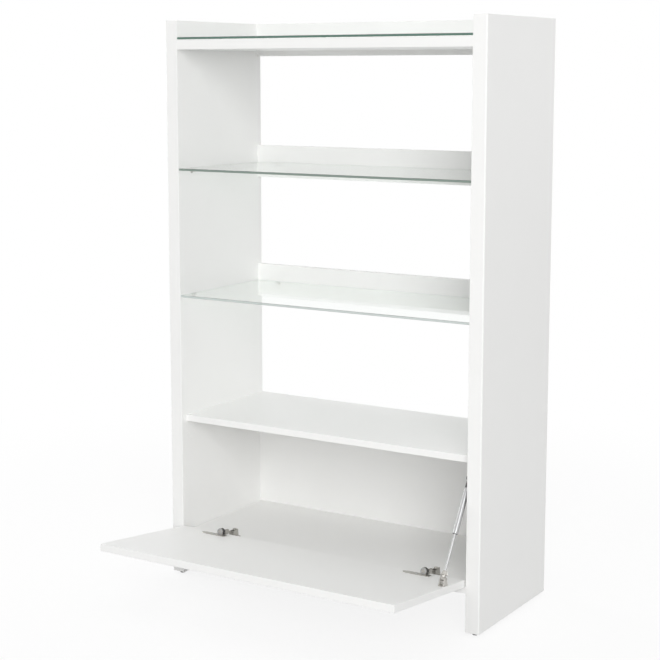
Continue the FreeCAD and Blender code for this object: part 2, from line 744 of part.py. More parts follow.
keep("flap_leaf_screws", several("flap_leaf_screws", leaf_screws))
keep("hinge_barrel_screws", several("hinge_barrel_screws", barrel_screws))
keep("cabinet_leaf_screws", several("cabinet_leaf_screws", base_screws))

# Gas strut, foot end: a foot with two ears on the flap, and the rod's eye between them
FOOT_WIDE = ("-foot_half_wide", "foot_half_wide")
FOOT_FACE = "(flap_thick + foot_thick)"
FOOT_SCREWS = (f"-({FOOT_RISE} - foot_screw_up)", f"-({FOOT_RISE} + foot_screw_up)")


def strut_foot():
    tall = (f"{FOOT_RISE} - foot_half_long", f"{FOOT_RISE} + foot_half_long")
    ear_end = f"{FOOT_DEPTH} + ear_over_pin"
    corners = [
        ("flap_thick", f"{FOOT_RISE} - ear_half_base"),
        (ear_end, f"{FOOT_RISE} - ear_half_top"),
        (ear_end, f"{FOOT_RISE} + ear_half_top"),
        ("flap_thick", f"{FOOT_RISE} + ear_half_base"),
    ]
    pieces = [
        block("foot_plate", FOOT_WIDE, ("flap_thick", FOOT_FACE), tall),
        prism("ear", "YZ_Plane", corners, ("-foot_half_wide", "ear_thick - foot_half_wide")),
        prism("ear", "YZ_Plane", corners, ("foot_half_wide - ear_thick", "foot_half_wide")),
    ]
    cuts = [rod("pin_room", "X", "foot_pin_radius", *past(FOOT_WIDE, "over_run"), FOOT_DEPTH, FOOT_RISE)]
    cuts.append(into_flap([screw_room(0, height, FOOT_FACE) for height in FOOT_SCREWS]))
    return minus("strut_foot", join("strut_foot", pieces), cuts)


keep("strut_foot", on_flap(strut_foot(), STRUT_X))
foot_pin = rod("foot_pin", "X", "foot_pin_radius", *FOOT_WIDE, FOOT_DEPTH, FOOT_RISE)
keep("strut_foot_pin", on_flap(foot_pin, STRUT_X))
foot_screws = into_flap([wood_screw(0, height, FOOT_FACE) for height in FOOT_SCREWS])
keep("strut_foot_screws", on_flap(foot_screws, STRUT_X))
drill("flap_door", into_flap([screw_room(0, height, FOOT_FACE) for height in FOOT_SCREWS], STRUT_X))


def on_foot(shape):
    """Leans a shape drawn upright on the foot's pin back towards the stud."""
    return lean(shape, STRUT_X, FOOT_BACK, FOOT_UP, STRUT_LEAN)


def on_stud(shape):
    """Leans a shape drawn hanging from the stud in line with the rod."""
    return lean(shape, STRUT_X, STUD_BACK, STUD_UP, STRUT_LEAN)


def lower_eye():
    wide = ("-eye_half_wide", "eye_half_wide")
    pieces = [
        rod("eye", "X", "eye_radius", *wide),
        rod("eye_neck", "Z", "eye_neck_radius", 0, "eye_neck_long"),
    ]
    cuts = [
        rod("eye_bore", "X", "foot_pin_radius + pin_play", *past(wide, "over_run")),
        rod("rod_seat", "Z", "rod_radius", "eye_grip", "eye_neck_long + over_run"),
    ]
    return minus("lower_eye", join("lower_eye", pieces), cuts)


def piston():
    stretch = (f"{ROD_END} - piston_long", ROD_END)
    ring = rod("piston", "Z", "tube_radius - tube_wall - piston_play", *stretch)
    return minus("piston", ring, [rod("rod_seat", "Z", "rod_radius", *past(stretch, "over_run"))])


def strut_tube():
    stretch = (f"-{TUBE_END}", "-tube_start")
    wall = rod("tube", "Z", "tube_radius", *stretch)
    return minus("tube", wall, [rod("tube_bore", "Z", "tube_radius - tube_wall", *past(stretch, "over_run"))])


def gland():
    stretch = (f"-{TUBE_END}", f"gland_long - {TUBE_END}")
    ring = rod("gland", "Z", "tube_radius - tube_wall", *stretch)
    return minus("gland", ring, [rod("rod_room", "Z", "rod_radius + pin_play", *past(stretch, "over_run"))])


def upper_socket():
    """The socket that hangs on the stud, with a spigot in the tube."""
    wide = ("-socket_half_wide", "socket_half_wide")
    pieces = [
        rod("socket_head", "X", "socket_head_radius", *wide),
        rod("socket_neck", "Z", "socket_neck_radius", "-tube_start", 0),
        rod("spigot", "Z", "tube_radius - tube_wall", "-tube_start - spigot_long", "-tube_start"),
    ]
    deep = ("socket_half_wide - socket_dimple_deep", "socket_half_wide + over_run")
    dimple = rod("dimple", "X", "stud_radius + stud_room", *deep)
    return minus("upper_socket", join("upper_socket", pieces), [dimple])


keep("strut_lower_eye", on_foot(lower_eye()))
keep("strut_rod", on_foot(rod("strut_rod", "Z", "rod_radius", "eye_grip", ROD_END)))
keep("strut_piston", on_foot(piston()))
keep("strut_tube", on_stud(strut_tube()))
keep("strut_gland", on_stud(gland()))
keep("strut_upper_socket", on_stud(upper_socket()))

# Gas strut, wall end: a plate with a stud on the right side. The left side has the same screw holes,
# so that the strut can be fitted on either hand. A laid-down screw's x is its height.
PLATE_IN = "(strut_wall_gap - plate_thick)"
WALL_SPOT = (STRUT_X, STUD_BACK, STUD_UP)
PLATE_SCREWS = (
    ("-plate_screw_out", "plate_screw_up"),
    ("plate_screw_out", "plate_screw_up"),
    ("0", "-plate_screw_down"),
)


def into_wall(shapes):
    """Lays upright screws down, so that they go into the right side's inner face."""
    return put(several("into_wall", shapes), 0, 0, 0, Rotation(Vector(0, 1, 0), -90))


plate_back, plate_tall = ("-plate_half_back", "plate_half_back"), ("-plate_down", "plate_up")
plate = block("wall_plate", (PLATE_IN, "strut_wall_gap"), plate_back, plate_tall)
stud = rod("stud", "X", "stud_radius", "socket_half_wide + stud_room", PLATE_IN)
seats = into_wall([screw_room(up, back, f"-{PLATE_IN}") for back, up in PLATE_SCREWS])
bracket = minus("wall_bracket", join("wall_bracket", [plate, stud]), [seats])
keep("strut_wall_bracket", move(bracket, *WALL_SPOT))
wall_screws = into_wall([wood_screw(up, back, f"-{PLATE_IN}") for back, up in PLATE_SCREWS])
keep("strut_wall_screws", move(wall_screws, *WALL_SPOT))
drill("right_side_panel", move(seats, *WALL_SPOT))
SPARE_HOLE = (f"-{INNER_HALF} - wood_screw_long", f"-{INNER_HALF} + over_run")
for back, up in PLATE_SCREWS:
    spot = (f"{STUD_BACK} + ({back})", f"{STUD_UP} + ({up})")
    drill("left_side_panel", rod("spare_hole", "X", "wood_screw_radius + hole_play", *SPARE_HOLE, *spot))

# Sides, with their outer front edge rounded more than the rest
DEPTH = (f"-{HALF_DEPTH}", HALF_DEPTH)
SIDE_OUTLINES = {
    "left_side_panel": ((f"-{HALF_WIDTH}", f"-{INNER_HALF}"), ["arris_round"] + ["edge_round"] * 3),
    "right_side_panel": ((INNER_HALF, HALF_WIDTH), ["edge_round", "arris_round"] + ["edge_round"] * 2),
}
for side, (across, rounds) in SIDE_OUTLINES.items():
    keep(side, rounded(side, "XY_Plane", across, DEPTH, ("side_lift", "body_height"), rounds))

# Boards, rails and glass run from side to side, drawn by their section
BETWEEN = (f"-{INNER_HALF}", INNER_HALF)
GLASS_BETWEEN = (f"glass_gap - {INNER_HALF}", f"{INNER_HALF} - glass_gap")
GLASS_DEEP = (FRONT, f"{RAIL_FRONT} - glass_gap")
SECTIONS = {
    "top_board": ((FRONT, RAIL_FRONT), TOP_BOARD_LEVEL, "top_board_thick"),
    "fixed_shelf": ((SHELF_FRONT, HALF_DEPTH), "fixed_shelf_level", "board_thick"),
    "bottom_board": ((FRONT, HALF_DEPTH), "bottom_level", "board_thick"),
    "lower_back_panel": (
        (f"{HALF_DEPTH} - back_thick", HALF_DEPTH),
        BOTTOM_TOP,
        f"(fixed_shelf_level - {BOTTOM_TOP})",
    ),
}
for rail, level in RAILS.items():
    SECTIONS[rail] = ((RAIL_FRONT, HALF_DEPTH), level, "rail_tall")
for node, (deep, level, tall) in SECTIONS.items():
    keep(node, rounded(node, "YZ_Plane", deep, (level, f"{level} + {tall}"), BETWEEN, ["edge_round"] * 4))
PANES = {
    "top_glass": TOP_GLASS_LEVEL,
    "upper_glass_shelf": UPPER_SHELF_LEVEL,
    "lower_glass_shelf": LOWER_SHELF_LEVEL,
}
for pane, level in PANES.items():
    up = (level, f"{level} + glass_thick")
    keep(pane, rounded(pane, "YZ_Plane", GLASS_DEEP, up, GLASS_BETWEEN, ["glass_round"] * 4))
top_pads = []
for right in (-1, 0, 1):
    for y in (f"{FRONT} + top_pad_edge_in", f"{RAIL_FRONT} - top_pad_edge_in"):
        x = f"{right} * ({INNER_HALF} - top_pad_side_in)"
        top_pads.append(rod("top_pad", "Z", "pad_radius", TOP_BOARD_TOP, TOP_GLASS_LEVEL, x, y))
keep("top_glass_pads", several("top_glass_pads", top_pads))

# Flap, drawn closed in the hinge frame and turned open
flap_wide = (f"flap_side_gap - {INNER_HALF}", f"{INNER_HALF} - flap_side_gap")
flap_tall = ("pin_drop", f"pin_drop + {FLAP_LONG}")
door = rounded("flap_door", "YZ_Plane", ("0", "flap_thick"), flap_tall, flap_wide, ["edge_round"] * 4)
keep("flap_door", on_flap(minus("flap_door", door, holes.pop("flap_door"))))

doc.recompute()
for thing in doc.Objects:
    if {"Invalid", "Error"} & set(thing.State):
        raise RuntimeError(f"{thing.Label} did not build: {thing.State}")
for node, thing in nodes.items():
    if thing.Shape.isNull() or not thing.Shape.isValid() or not thing.Shape.Solids:
        raise RuntimeError(f"{node} has no valid solid")

os.makedirs("parts", exist_ok=True)
for node, thing in nodes.items():
    thing.Shape.exportStep(f"parts/{node}.step")

print(len(nodes), "sub-parts,", sum(len(thing.Shape.Solids) for thing in nodes.values()), "solids")
MEASURES = {
    "hinge pins": (f"{PIN_BACK} - {CASE_MIDDLE}", PIN_UP),
    "foot pin": (f"{FOOT_BACK} - {CASE_MIDDLE}", FOOT_UP),
    "stud": (f"{STUD_BACK} - {CASE_MIDDLE}", STUD_UP),
    "strut length, open and closed": (STRUT_OPEN, STRUT_CLOSED),
    "strut lean, open and closed": (STRUT_LEAN, CLOSED_LEAN),
}
for name, formulas in MEASURES.items():
    print(name, [round(worth(formula), 4) for formula in formulas])
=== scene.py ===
import json
import math
from contextlib import contextmanager

import bmesh
import bpy
from bpy.props import FloatProperty, FloatVectorProperty, PointerProperty
from bpy.types import Operator, Panel, PropertyGroup
from mathutils import Euler, Matrix, Vector


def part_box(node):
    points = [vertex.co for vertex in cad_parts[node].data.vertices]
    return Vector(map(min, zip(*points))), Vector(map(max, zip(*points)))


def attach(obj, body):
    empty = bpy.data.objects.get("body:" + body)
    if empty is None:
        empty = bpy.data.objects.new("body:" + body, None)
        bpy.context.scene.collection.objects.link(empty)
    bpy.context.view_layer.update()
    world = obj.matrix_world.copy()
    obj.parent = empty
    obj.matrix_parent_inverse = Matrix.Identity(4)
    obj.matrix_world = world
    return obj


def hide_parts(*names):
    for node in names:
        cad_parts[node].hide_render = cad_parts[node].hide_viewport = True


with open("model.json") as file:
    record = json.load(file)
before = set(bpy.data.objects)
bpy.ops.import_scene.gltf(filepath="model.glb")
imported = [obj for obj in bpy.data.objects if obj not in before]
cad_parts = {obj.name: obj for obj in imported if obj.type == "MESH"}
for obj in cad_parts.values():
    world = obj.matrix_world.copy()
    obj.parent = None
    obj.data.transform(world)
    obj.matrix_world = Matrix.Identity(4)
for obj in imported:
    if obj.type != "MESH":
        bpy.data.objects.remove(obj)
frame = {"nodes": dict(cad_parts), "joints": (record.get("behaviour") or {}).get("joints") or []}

bl_info = {
    "name": "White Bookcase",
    "version": (1, 0, 0),
    "blender": (4, 5, 0),
    "location": "View3D > Sidebar > Bookcase",
    "description": "Builds the finished pieces of a white bookcase round its fixed frame",
    "category": "Add Mesh",
}

JOINTS = {joint["name"]: joint for joint in frame["joints"]}
HINGE_PIN = Vector(JOINTS["flap_hinge"]["pos_m"])
FLAP_TURN = math.radians(JOINTS["flap_hinge"]["range_deg"][1])
FOOT_PIN = Vector(JOINTS["strut_swing"]["pos_m"])
TURNS = {"X": (0, math.pi / 2, 0), "Y": (-math.pi / 2, 0, 0), "Z": (0, 0, 0)}

# Tests on a shape: the shares of a size that count as all of it, as most of it and as none of it,
# and how far the normal of a face that looks sideways may rise
NEARLY = 0.99
MOST = 0.9
HARDLY = 0.01
SIDEWAYS = 0.5

# Degrees between two faces past which their edge is rounded, and past which it is shaded sharp
ROUNDED_ANGLE = 30
SHARP_ANGLE = 35

# Glass: how far an edge's normal rises at most, the share of lamplight that each face lets through,
# and the levels between the three panes, where the edges' green steps darker as painted shade
EDGE_SLOPE = 0.4
GLASS_SHADE = 0.9
UPPER_LEVEL = 1.0
TOP_LEVEL = 1.4

# Screws of the strut's wall plate, back and up from its stud, and the spare holes for them
PLATE_SCREWS = ((-0.014, 0.006), (0.014, 0.006), (0, -0.010))
SPARE_HOLE_DEEP = 0.013

GLIDE_GRIPS = 12
SEEN_RAYS = ("Is Camera Ray", "Is Glossy Ray", "Is Transmission Ray")


# Properties that a user would change


def length(name, description, default):
    return FloatProperty(name=name, description=description, default=default, unit="LENGTH", precision=4)


def angle(name, description, default):
    return FloatProperty(name=name, description=description, default=math.radians(default), unit="ROTATION")


def colour(name, description, default):
    return FloatVectorProperty(
        name=name, description=description, default=default, subtype="COLOR", min=0, max=1
    )


def power(name, where, default):
    return FloatProperty(name=name, description=f"Power of the lamp {where}", default=default)


def position(name, where, default):
    return FloatVectorProperty(
        name=name, description=f"Middle of the lamp {where}", default=default, subtype="XYZ", unit="LENGTH"
    )


def share(name, description, default):
    return FloatProperty(name=name, description=description, default=default, min=0, max=1, subtype="FACTOR")


class BookcaseFinishes(PropertyGroup):
    """Colours and gloss of the finishes"""

    lacquer: colour("Lacquer", "Colour of the white satin lacquer", (0.93, 0.93, 0.918))
    lacquer_rough: share("Lacquer roughness", "How dull the satin lacquer is", 0.34)
    glass_face: colour("Glass", "What the clear glass lets through", (0.972, 1.0, 0.982))
    # Edge greens: the glass's own green, painted darker on the upper shelf and darker still on the top pane
    # as painted shade
    edge_top_shaded: colour("Top glass edge", "Green of the highest pane's edge", (0.10, 0.19, 0.15))
    edge_upper_shaded: colour("Upper shelf edge", "Green of the upper glass shelf's edge", (0.22, 0.28, 0.245))
    edge_lower: colour("Lower shelf edge", "Pale green of the lower glass shelf's edge", (0.60, 0.65, 0.63))
    nickel: colour("Nickel", "Satin nickel plate", (0.53, 0.515, 0.485))
    steel: colour("Bright steel", "Polished rod and tube", (0.48, 0.483, 0.487))
    zinc: colour("Zinc", "Bare die-cast zinc", (0.52, 0.53, 0.55))
    black: colour("Black plastic", "Moulded feet and strut ends", (0.018, 0.018, 0.02))
    clear: colour("Clear plastic", "Soft pads under the glass", (0.9, 0.93, 0.92))
    beech: colour("Beech", "Bare wooden dowels", (0.62, 0.42, 0.25))


class BookcaseBoards(PropertyGroup):
    """Rounds and holes of the lacquered boards"""

    arris: length("Front arris", "Round of a side's outer front edge", 0.004)
    edge: length("Edges", "Round of every other edge", 0.001)
    glass_edge: length("Glass edges", "Ground round of the panes' edges", 0.0008)
    flap_thick: length("Flap thickness", "Thickness of the drop-down flap", 0.02)
    flap_long: length("Flap length", "From the flap's hinged edge to its free edge", 0.371)
    flap_up: length("Flap's start", "Hinged edge of the closed flap above the pins", 0.0045)


class BookcaseSupports(PropertyGroup):
    """Shelf supports under the glass"""

    stem_radius: length("Stem radius", "Pin that sits in the wood", 0.0025)
    stem_long: length("Stem length", "Depth of the pin in the wood", 0.009)
    collar_radius: length("Collar radius", "Round collar against the wood", 0.0045)
    collar_thick: length("Collar thickness", "Thickness of the collar", 0.0015)
    tongue_long: length("Tongue length", "How far the tongue stands out", 0.012)
    tongue_wide: length("Tongue width", "Width of the tongue", 0.009)
    tongue_thick: length("Tongue thickness", "Thickness of the tongue", 0.004)
    pad_thick: length("Pad thickness", "Clear pad between the tongue and the glass", 0.001)


class BookcaseHinges(PropertyGroup):
    """Flap hinges, measured from the middle of the pin with the flap closed"""

    leaf_thick: length("Leaf thickness", "Sheet of both leaves", 0.002)
    leaf_up: length("Leaf height", "Middle of the flap's leaf above the pin", 0.0385)
    leaf_half: length("Leaf half width", "Half of the leaf's width", 0.01)
    tip_half: length("Tip half width", "Half of the width at the leaf's tip", 0.003)
    leaf_left: length("Leaf to the left", "Reach of the leaf's tip", 0.0365)
    slot_left: length("Slot's start", "Left end of the slot beside the barrel", 0.003)
    slot_right: length("Slot's end", "Right end of the slot beside the barrel", 0.012)
    slot_half: length("Slot half width", "Half of the slot's width", 0.0028)
    stay: length("Stay screw radius", "Radius of the pan head in the slot", 0.003)
    taper: length("Taper", "Length of the tapered end", 0.014)
    leaf_right: length("Leaf to the right", "Reach of the leaf's square end", 0.044)
    across: length("Hinge line", "Middle of the knuckles from the leaf's middle", 0.023)
    strap_half: length("Strap half width", "Half of the strap round the flap's edge", 0.005)
    knuckle: length("Knuckle radius", "Radius of the knuckles", 0.004)
    pin: length("Pin radius", "Radius of the hinge pin", 0.0015)
    barrel: length("Barrel radius", "Radius of the round housing", 0.0085)
    barrel_low: length("Barrel's start", "Inner end of the barrel above the pin", 0.0235)
    barrel_high: length("Barrel's end", "Dished end of the barrel above the pin", 0.0365)
    cap: length("Cap length", "Bright end of the barrel", 0.0045)
    ring: length("Ring", "How far the bright ring stands proud", 0.0008)
    yoke: length("Yoke thickness", "Sheet of the yoke behind the barrel", 0.0016)
    yoke_start: length("Yoke's start", "Ends of the yoke's cheeks above the pin", 0.0042)
    yoke_gap: length("Yoke gap", "Room between the yoke's cheeks and the arm", 0.0011)
    yoke_high: length("Yoke height", "Height of the yoke's cheeks over the leaf", 0.014)
    dish: length("Dish radius", "Radius of the barrel's dished end", 0.006)
    screw: length("Barrel screw radius", "Radius of the screw in the barrel", 0.0028)
    base_half: length("Base half width", "Half of the cabinet leaf's base", 0.015)
    base_back: length("Base depth", "Reach of the base over the board", 0.0505)
    base_up: length("Base height", "Underside of the base above the pin", 0.0013)
    arm_half: length("Arm half width", "Half of the arm's width", 0.0075)
    arm_front: length("Arm's front", "Front of the arm behind the pin", 0.0228)
    arm_tower: length("Arm's tower", "Front of the arm's tall part", 0.040)
    arm_tower_top: length("Tower top", "Depth of the tower's top", 0.007)
    arm_tail: length("Arm's tail", "Back of the arm at the base", 0.049)
    arm_nose_up: length("Nose height", "Top of the arm's low part", 0.0212)
    arm_tower_up: length("Tower height", "Top of the arm's tall part", 0.0235)
    bump: length("Adjuster radius", "Radius of the small screws on the arm", 0.0019)
    screw_left: length("Left screw", "Screw near the leaf's tip", 0.008)
    screw_right: length("Right screw", "Screw near the leaf's square end", 0.038)
    base_screw_out: length("Base screws", "Base screws from the hinge line", 0.011)
    base_screw_back: length("Base screws' depth", "Base screws behind the pin", 0.044)
    head: length("Screw head radius", "Radius of a countersunk head", 0.0031)
    shank: length("Screw shank radius", "Radius of a screw's shank", 0.0016)
    head_deep: length("Screw head depth", "Depth of a countersunk head", 0.0017)


class BookcaseStrut(PropertyGroup):
    """Gas strut, measured along its line from the pin in its foot"""

    tube: length("Tube radius", "Outer radius of the pressure tube", 0.0075)
    tube_start: length("Tube's start", "Upper end of the tube below the stud", 0.028)
    tube_long: length("Tube length", "Length of the pressure tube", 0.125035)
    rod: length("Rod radius", "Radius of the piston rod", 0.003)
    rod_end: length("Rod's end", "Inner end of the rod in the tube", 0.138035)
    eye: length("Eye radius", "Radius of the lower eye", 0.0055)
    eye_half: length("Eye half width", "Half of the eye's width", 0.0045)
    neck: length("Neck radius", "Radius of the eye's neck", 0.0042)
    neck_long: length("Neck length", "Reach of the eye's neck", 0.019)
    clip_start: length("Clip's start", "Wide end of the clip from the foot pin", 0.0098)
    clip_end: length("Clip's end", "Narrow end of the clip from the foot pin", 0.0216)
    clip_wide: length("Clip's wide end", "Half of the clip's width at its wide end", 0.0078)
    clip_narrow: length("Clip's narrow end", "Half of the clip's width at its narrow end", 0.0043)
    socket: length("Socket radius", "Radius of the upper socket's head", 0.0072)
    socket_half: length("Socket half width", "Half of the upper socket's width", 0.0065)
    socket_neck: length("Socket neck radius", "Radius of the socket's neck", 0.006)
    stud: length("Stud radius", "Radius of the stud on the wall bracket", 0.003)
    plate: length("Plate thickness", "Thickness of the wall plate", 0.002)
    plate_down: length("Plate below the stud", "Lower edge of the wall plate", 0.016)
    foot_half: length("Foot half width", "Half of the foot's width", 0.008)
    foot_long: length("Foot half length", "Half of the foot's plate", 0.013)
    foot_thick: length("Foot plate thickness", "Thickness of the foot's plate", 0.003)
    foot_lift: length("Foot pin height", "Pin above the flap's inner face", 0.018)
    foot_up: length("Foot pin place", "Foot pin above the hinge pins, with the flap closed", 0.1065)
    ear: length("Ear thickness", "Thickness of the foot's two ears", 0.003)
    ear_base: length("Ear base", "Half of an ear's width at the plate", 0.011)
    ear_top: length("Ear top", "Half of an ear's width at its top", 0.0045)
    ear_over: length("Ear over the pin", "Height of an ear over the pin", 0.005)


class BookcaseStage(PropertyGroup):
    """Floor, light and camera"""

    floor: colour("Floor", "Colour of the pale floor", (0.64, 0.64, 0.64))
    floor_half: length("Floor half width", "Half of the floor's side", 30)
    shadow: share("Shadow", "How much of the object's shadow the white floor keeps", 0.15)
    shadow_reach: length("Shadow reach", "Where the floor is plain white, from its middle", 2.6)
    room_light: FloatProperty(name="Room light", description="Strength of the light all round", default=0.46)
    lamp_wide: length("Lamp width", "Side of each lamp", 5.0)
    key_power: power("Key light", "in front to the right", 440)
    key_place: position("Key place", "in front to the right", (5.0, -6.9, 3.4))
    top_power: power("Top light", "overhead", 45)
    top_place: position("Top place", "overhead", (0.45, -1.0, 6.0))
    back_power: power("Back light", "behind", 100)
    back_place: position("Back place", "behind", (0.5, 8.0, 3.0))
    left_power: power("Left light", "to the left", 280)
    left_place: position("Left place", "to the left", (-8.0, 0.5, 3.0))
    camera_right: length("Camera to the right", "From the case's middle", 2.1953)
    camera_front: length("Camera in front", "From the front of the sides", 3.4387)
    camera_up: length("Camera height", "Above the floor", 1.4566)
    camera_turn: angle("Camera turn", "Turned to the left of straight ahead", 32.034)
    camera_tilt: angle("Camera tilt", "Tilted below level", 8.337)
    camera_shift: FloatProperty(name="Camera shift", description="Vertical shift", default=-0.05)
    lens: FloatProperty(name="Lens", description="Focal length in millimetres", default=83.55)


GROUPS = {
    "finishes": BookcaseFinishes,
    "boards": BookcaseBoards,
    "supports": BookcaseSupports,
    "hinges": BookcaseHinges,
    "strut": BookcaseStrut,
    "stage": BookcaseStage,
}


def sizes(group):
    return getattr(bpy.context.scene, f"bookcase_{group}")


# Shader nodes written as expressions


class Value:
    """A socket of a tree of nodes that Python's signs can work with."""

    def __init__(self, nodes, socket):
        self.nodes = nodes
        self.socket = socket

    def maths(self, operation, first, second):
        return self.nodes.node("ShaderNodeMath", {"operation": operation}, {0: first, 1: second})

    def __add__(self, other):
        return self.maths("ADD", self, other)

    def __sub__(self, other):
        return self.maths("SUBTRACT", self, other)

    def __mul__(self, other):
        return self.maths("MULTIPLY", self, other)

    def __gt__(self, other):
        return self.maths("GREATER_THAN", self, other)

    def __or__(self, other):
        return self.maths("MAXIMUM", self, other)

    def __abs__(self):
        return self.nodes.node("ShaderNodeMath", {"operation": "ABSOLUTE"}, {0: self})

    def __rsub__(self, other):
        return self.maths("SUBTRACT", other, self)

    __radd__ = __add__
    __rmul__ = __mul__
    __ror__ = __or__


class Nodes:
    """A tree of nodes; each is added with its settings, and with values or links for its sockets."""

    def __init__(self, owner):
        owner.use_nodes = True
        self.tree = owner.node_tree

    def node(self, kind, settings=None, sockets=None, out=0):
        made = self.tree.nodes.new(kind)
        for word, setting in (settings or {}).items():
            setattr(made, word, setting)
        for slot, value in (sockets or {}).items():
            self.fill(made.inputs[slot], value)
        return Value(self, made.outputs[out]) if made.outputs else made

    def fill(self, socket, value):
        """Links a value from another node to a socket, or writes a plain one in it."""
        if isinstance(value, Value):
            self.tree.links.new(value.socket, socket)
        else:
            socket.default_value = value


class Paint(Nodes):
    """One finish: a principled shader and the nodes that feed it."""

    def __init__(self, name, **constants):
        self.material = bpy.data.materials.new(name)
        super().__init__(self.material)
        self.shader = self.tree.nodes["Principled BSDF"]
        for slot, value in constants.items():
            self.shader.inputs[slot.replace("_", " ")].default_value = value

    def place(self, stretch=(1, 1, 1)):
        """The point on the piece in its own frame, stretched along each axis."""
        point = self.node("ShaderNodeTexCoord", out="Object")
        return self.node("ShaderNodeMapping", {"vector_type": "POINT"}, {"Vector": point, "Scale": stretch})

    def noise(self, scale, detail=3, stretch=(1, 1, 1)):
        """Smooth noise from 0 to 1; scale is in patches per metre."""
        sockets = {"Vector": self.place(stretch), "Scale": scale, "Detail": detail}
        return self.node("ShaderNodeTexNoise", {}, sockets)

    def tint(self, tone, other, factor):
        """A colour that turns into another with a factor."""
        made = self.tree.nodes.new("ShaderNodeMix")
        made.data_type = "RGBA"
        sockets = [made.inputs["Factor"]] + [socket for socket in made.inputs if socket.type == "RGBA"]
        for socket, value in zip(sockets, (factor, tone, other)):
            self.fill(socket, value if isinstance(value, Value) else (*value, 1))
        return Value(self, next(socket for socket in made.outputs if socket.type == "RGBA"))

    def feed(self, slot, value):
        self.fill(self.shader.inputs[slot], value)

    def bump(self, height, deep):
        """Lets a height in metres shade the surface."""
        sockets = {"Height": height, "Strength": 1.0, "Distance": deep}
        self.feed("Normal", self.node("ShaderNodeBump", {}, sockets))


def darker(tone, kept):
    return tuple(channel * kept for channel in tone)


# Finishes, named as the slots that they fill


def white_lacquer():
    tones = sizes("finishes")
    paint = Paint("bookcase_white_lacquer", IOR=1.5)
    cloud = paint.noise(scale=9, detail=2)
    mottle = paint.noise(scale=260)
    paint.feed("Base Color", paint.tint(darker(tones.lacquer, 0.985), tones.lacquer, cloud))
    # The two noises add 0.045 on average, so the set roughness is the middle
    paint.feed("Roughness", mottle * 0.05 + cloud * 0.04 + (tones.lacquer_rough - 0.045))
    orange_peel = paint.noise(scale=1100, detail=2) * 0.6 + paint.noise(scale=180, detail=2) * 0.4
    paint.bump(orange_peel, deep=0.00003)
    return paint.material


def shelf_glass():
    """Clear float glass that lets lamplight through, with frosted green edges that are painted darker on the
    higher panes as painted shade.
    """
    tones = sizes("finishes")
    paint = Paint("bookcase_shelf_glass", IOR=1.5, Transmission_Weight=1.0)
    haze = paint.noise(scale=40, detail=2)
    paint.feed("Base Color", paint.tint(darker(tones.glass_face, 0.995), tones.glass_face, haze))
    paint.feed("Roughness", haze * 0.01)
    normal = paint.node("ShaderNodeTexCoord", out="Normal")
    upright = paint.node("ShaderNodeSeparateXYZ", {}, {"Vector": normal}, out="Z")
    edge = 1 - (abs(upright) > EDGE_SLOPE)
    height = paint.node("ShaderNodeSeparateXYZ", {}, {"Vector": paint.place()}, out="Z")
    # Painted shade: the edges' own green steps darker on the upper shelf and again on the top pane
    shelf_edges_with_shade = paint.tint(tones.edge_lower, tones.edge_upper_shaded, height > UPPER_LEVEL)
    frost = paint.noise(scale=700)
    green = paint.tint(shelf_edges_with_shade, tones.edge_top_shaded, height > TOP_LEVEL)
    sockets = {"Base Color": green, "Roughness": frost * 0.2 + 0.3, "IOR": 1.5}
    frosted = paint.node("ShaderNodeBsdfPrincipled", {}, sockets)
    clear = Value(paint, paint.shader.outputs[0])
    solid = paint.node("ShaderNodeMixShader", {}, {"Fac": edge, 1: clear, 2: frosted})
    shade_tone = (*darker(tones.glass_face, GLASS_SHADE), 1)
    shade = paint.node("ShaderNodeBsdfTransparent", {}, {"Color": shade_tone})
    lamp_ray = paint.node("ShaderNodeLightPath", out="Is Shadow Ray")
    look = paint.node("ShaderNodeMixShader", {}, {"Fac": lamp_ray, 1: solid, 2: shade})
    paint.fill(paint.tree.nodes["Material Output"].inputs["Surface"], look)
    return paint.material


def metal(name, tone, rough, grain, stretch, deep):
    """A plated or drawn metal with fine lines along the direction that is stretched least."""
    paint = Paint(name, Metallic=1.0, IOR=1.5)
    lines = paint.noise(scale=grain, detail=4, stretch=stretch)
    patches = paint.noise(scale=55)
    paint.feed("Base Color", paint.tint(darker(tone, 0.86), tone, lines * 0.5 + patches * 0.5))
    # The two noises add 0.1 on average, so the set roughness is the middle
    paint.feed("Roughness", patches * 0.12 + lines * 0.08 + (rough - 0.1))
    paint.bump(lines, deep)
    return paint.material


def nickel():
    tone = sizes("finishes").nickel
    return metal("bookcase_nickel", tone, rough=0.32, grain=700, stretch=(1, 6, 6), deep=0.00002)


def bright_steel():
    tone = sizes("finishes").steel
    return metal("bookcase_bright_steel", tone, rough=0.30, grain=900, stretch=(1, 1, 5), deep=0.000006)


def zinc():
    tones = sizes("finishes")
    paint = Paint("bookcase_zinc", Metallic=1.0)
    cells = paint.node("ShaderNodeTexVoronoi", {}, {"Vector": paint.place(), "Scale": 420.0}, out="Distance")
    dust = paint.noise(scale=300, detail=4)
    paint.feed("Base Color", paint.tint(darker(tones.zinc, 0.75), tones.zinc, cells * 0.6 + dust * 0.5))
    paint.feed("Roughness", dust * 0.2 + 0.36)
    paint.bump(dust, deep=0.00005)
    return paint.material


def dark_plastic():
    tones = sizes("finishes")
    paint = Paint("bookcase_dark_plastic", IOR=1.5)
    grain = paint.noise(scale=1500)
    paint.feed("Base Color", paint.tint(tones.black, (0.045, 0.045, 0.048), grain))
    paint.feed("Roughness", grain * 0.15 + 0.4)
    paint.bump(grain, deep=0.00004)
    return paint.material


def clear_plastic():
    tones = sizes("finishes")
    paint = Paint("bookcase_clear_plastic", IOR=1.45, Transmission_Weight=0.85)
    haze = paint.noise(scale=350)
    paint.feed("Base Color", paint.tint(darker(tones.clear, 0.92), tones.clear, haze))
    paint.feed("Roughness", haze * 0.15 + 0.18)
    return paint.material


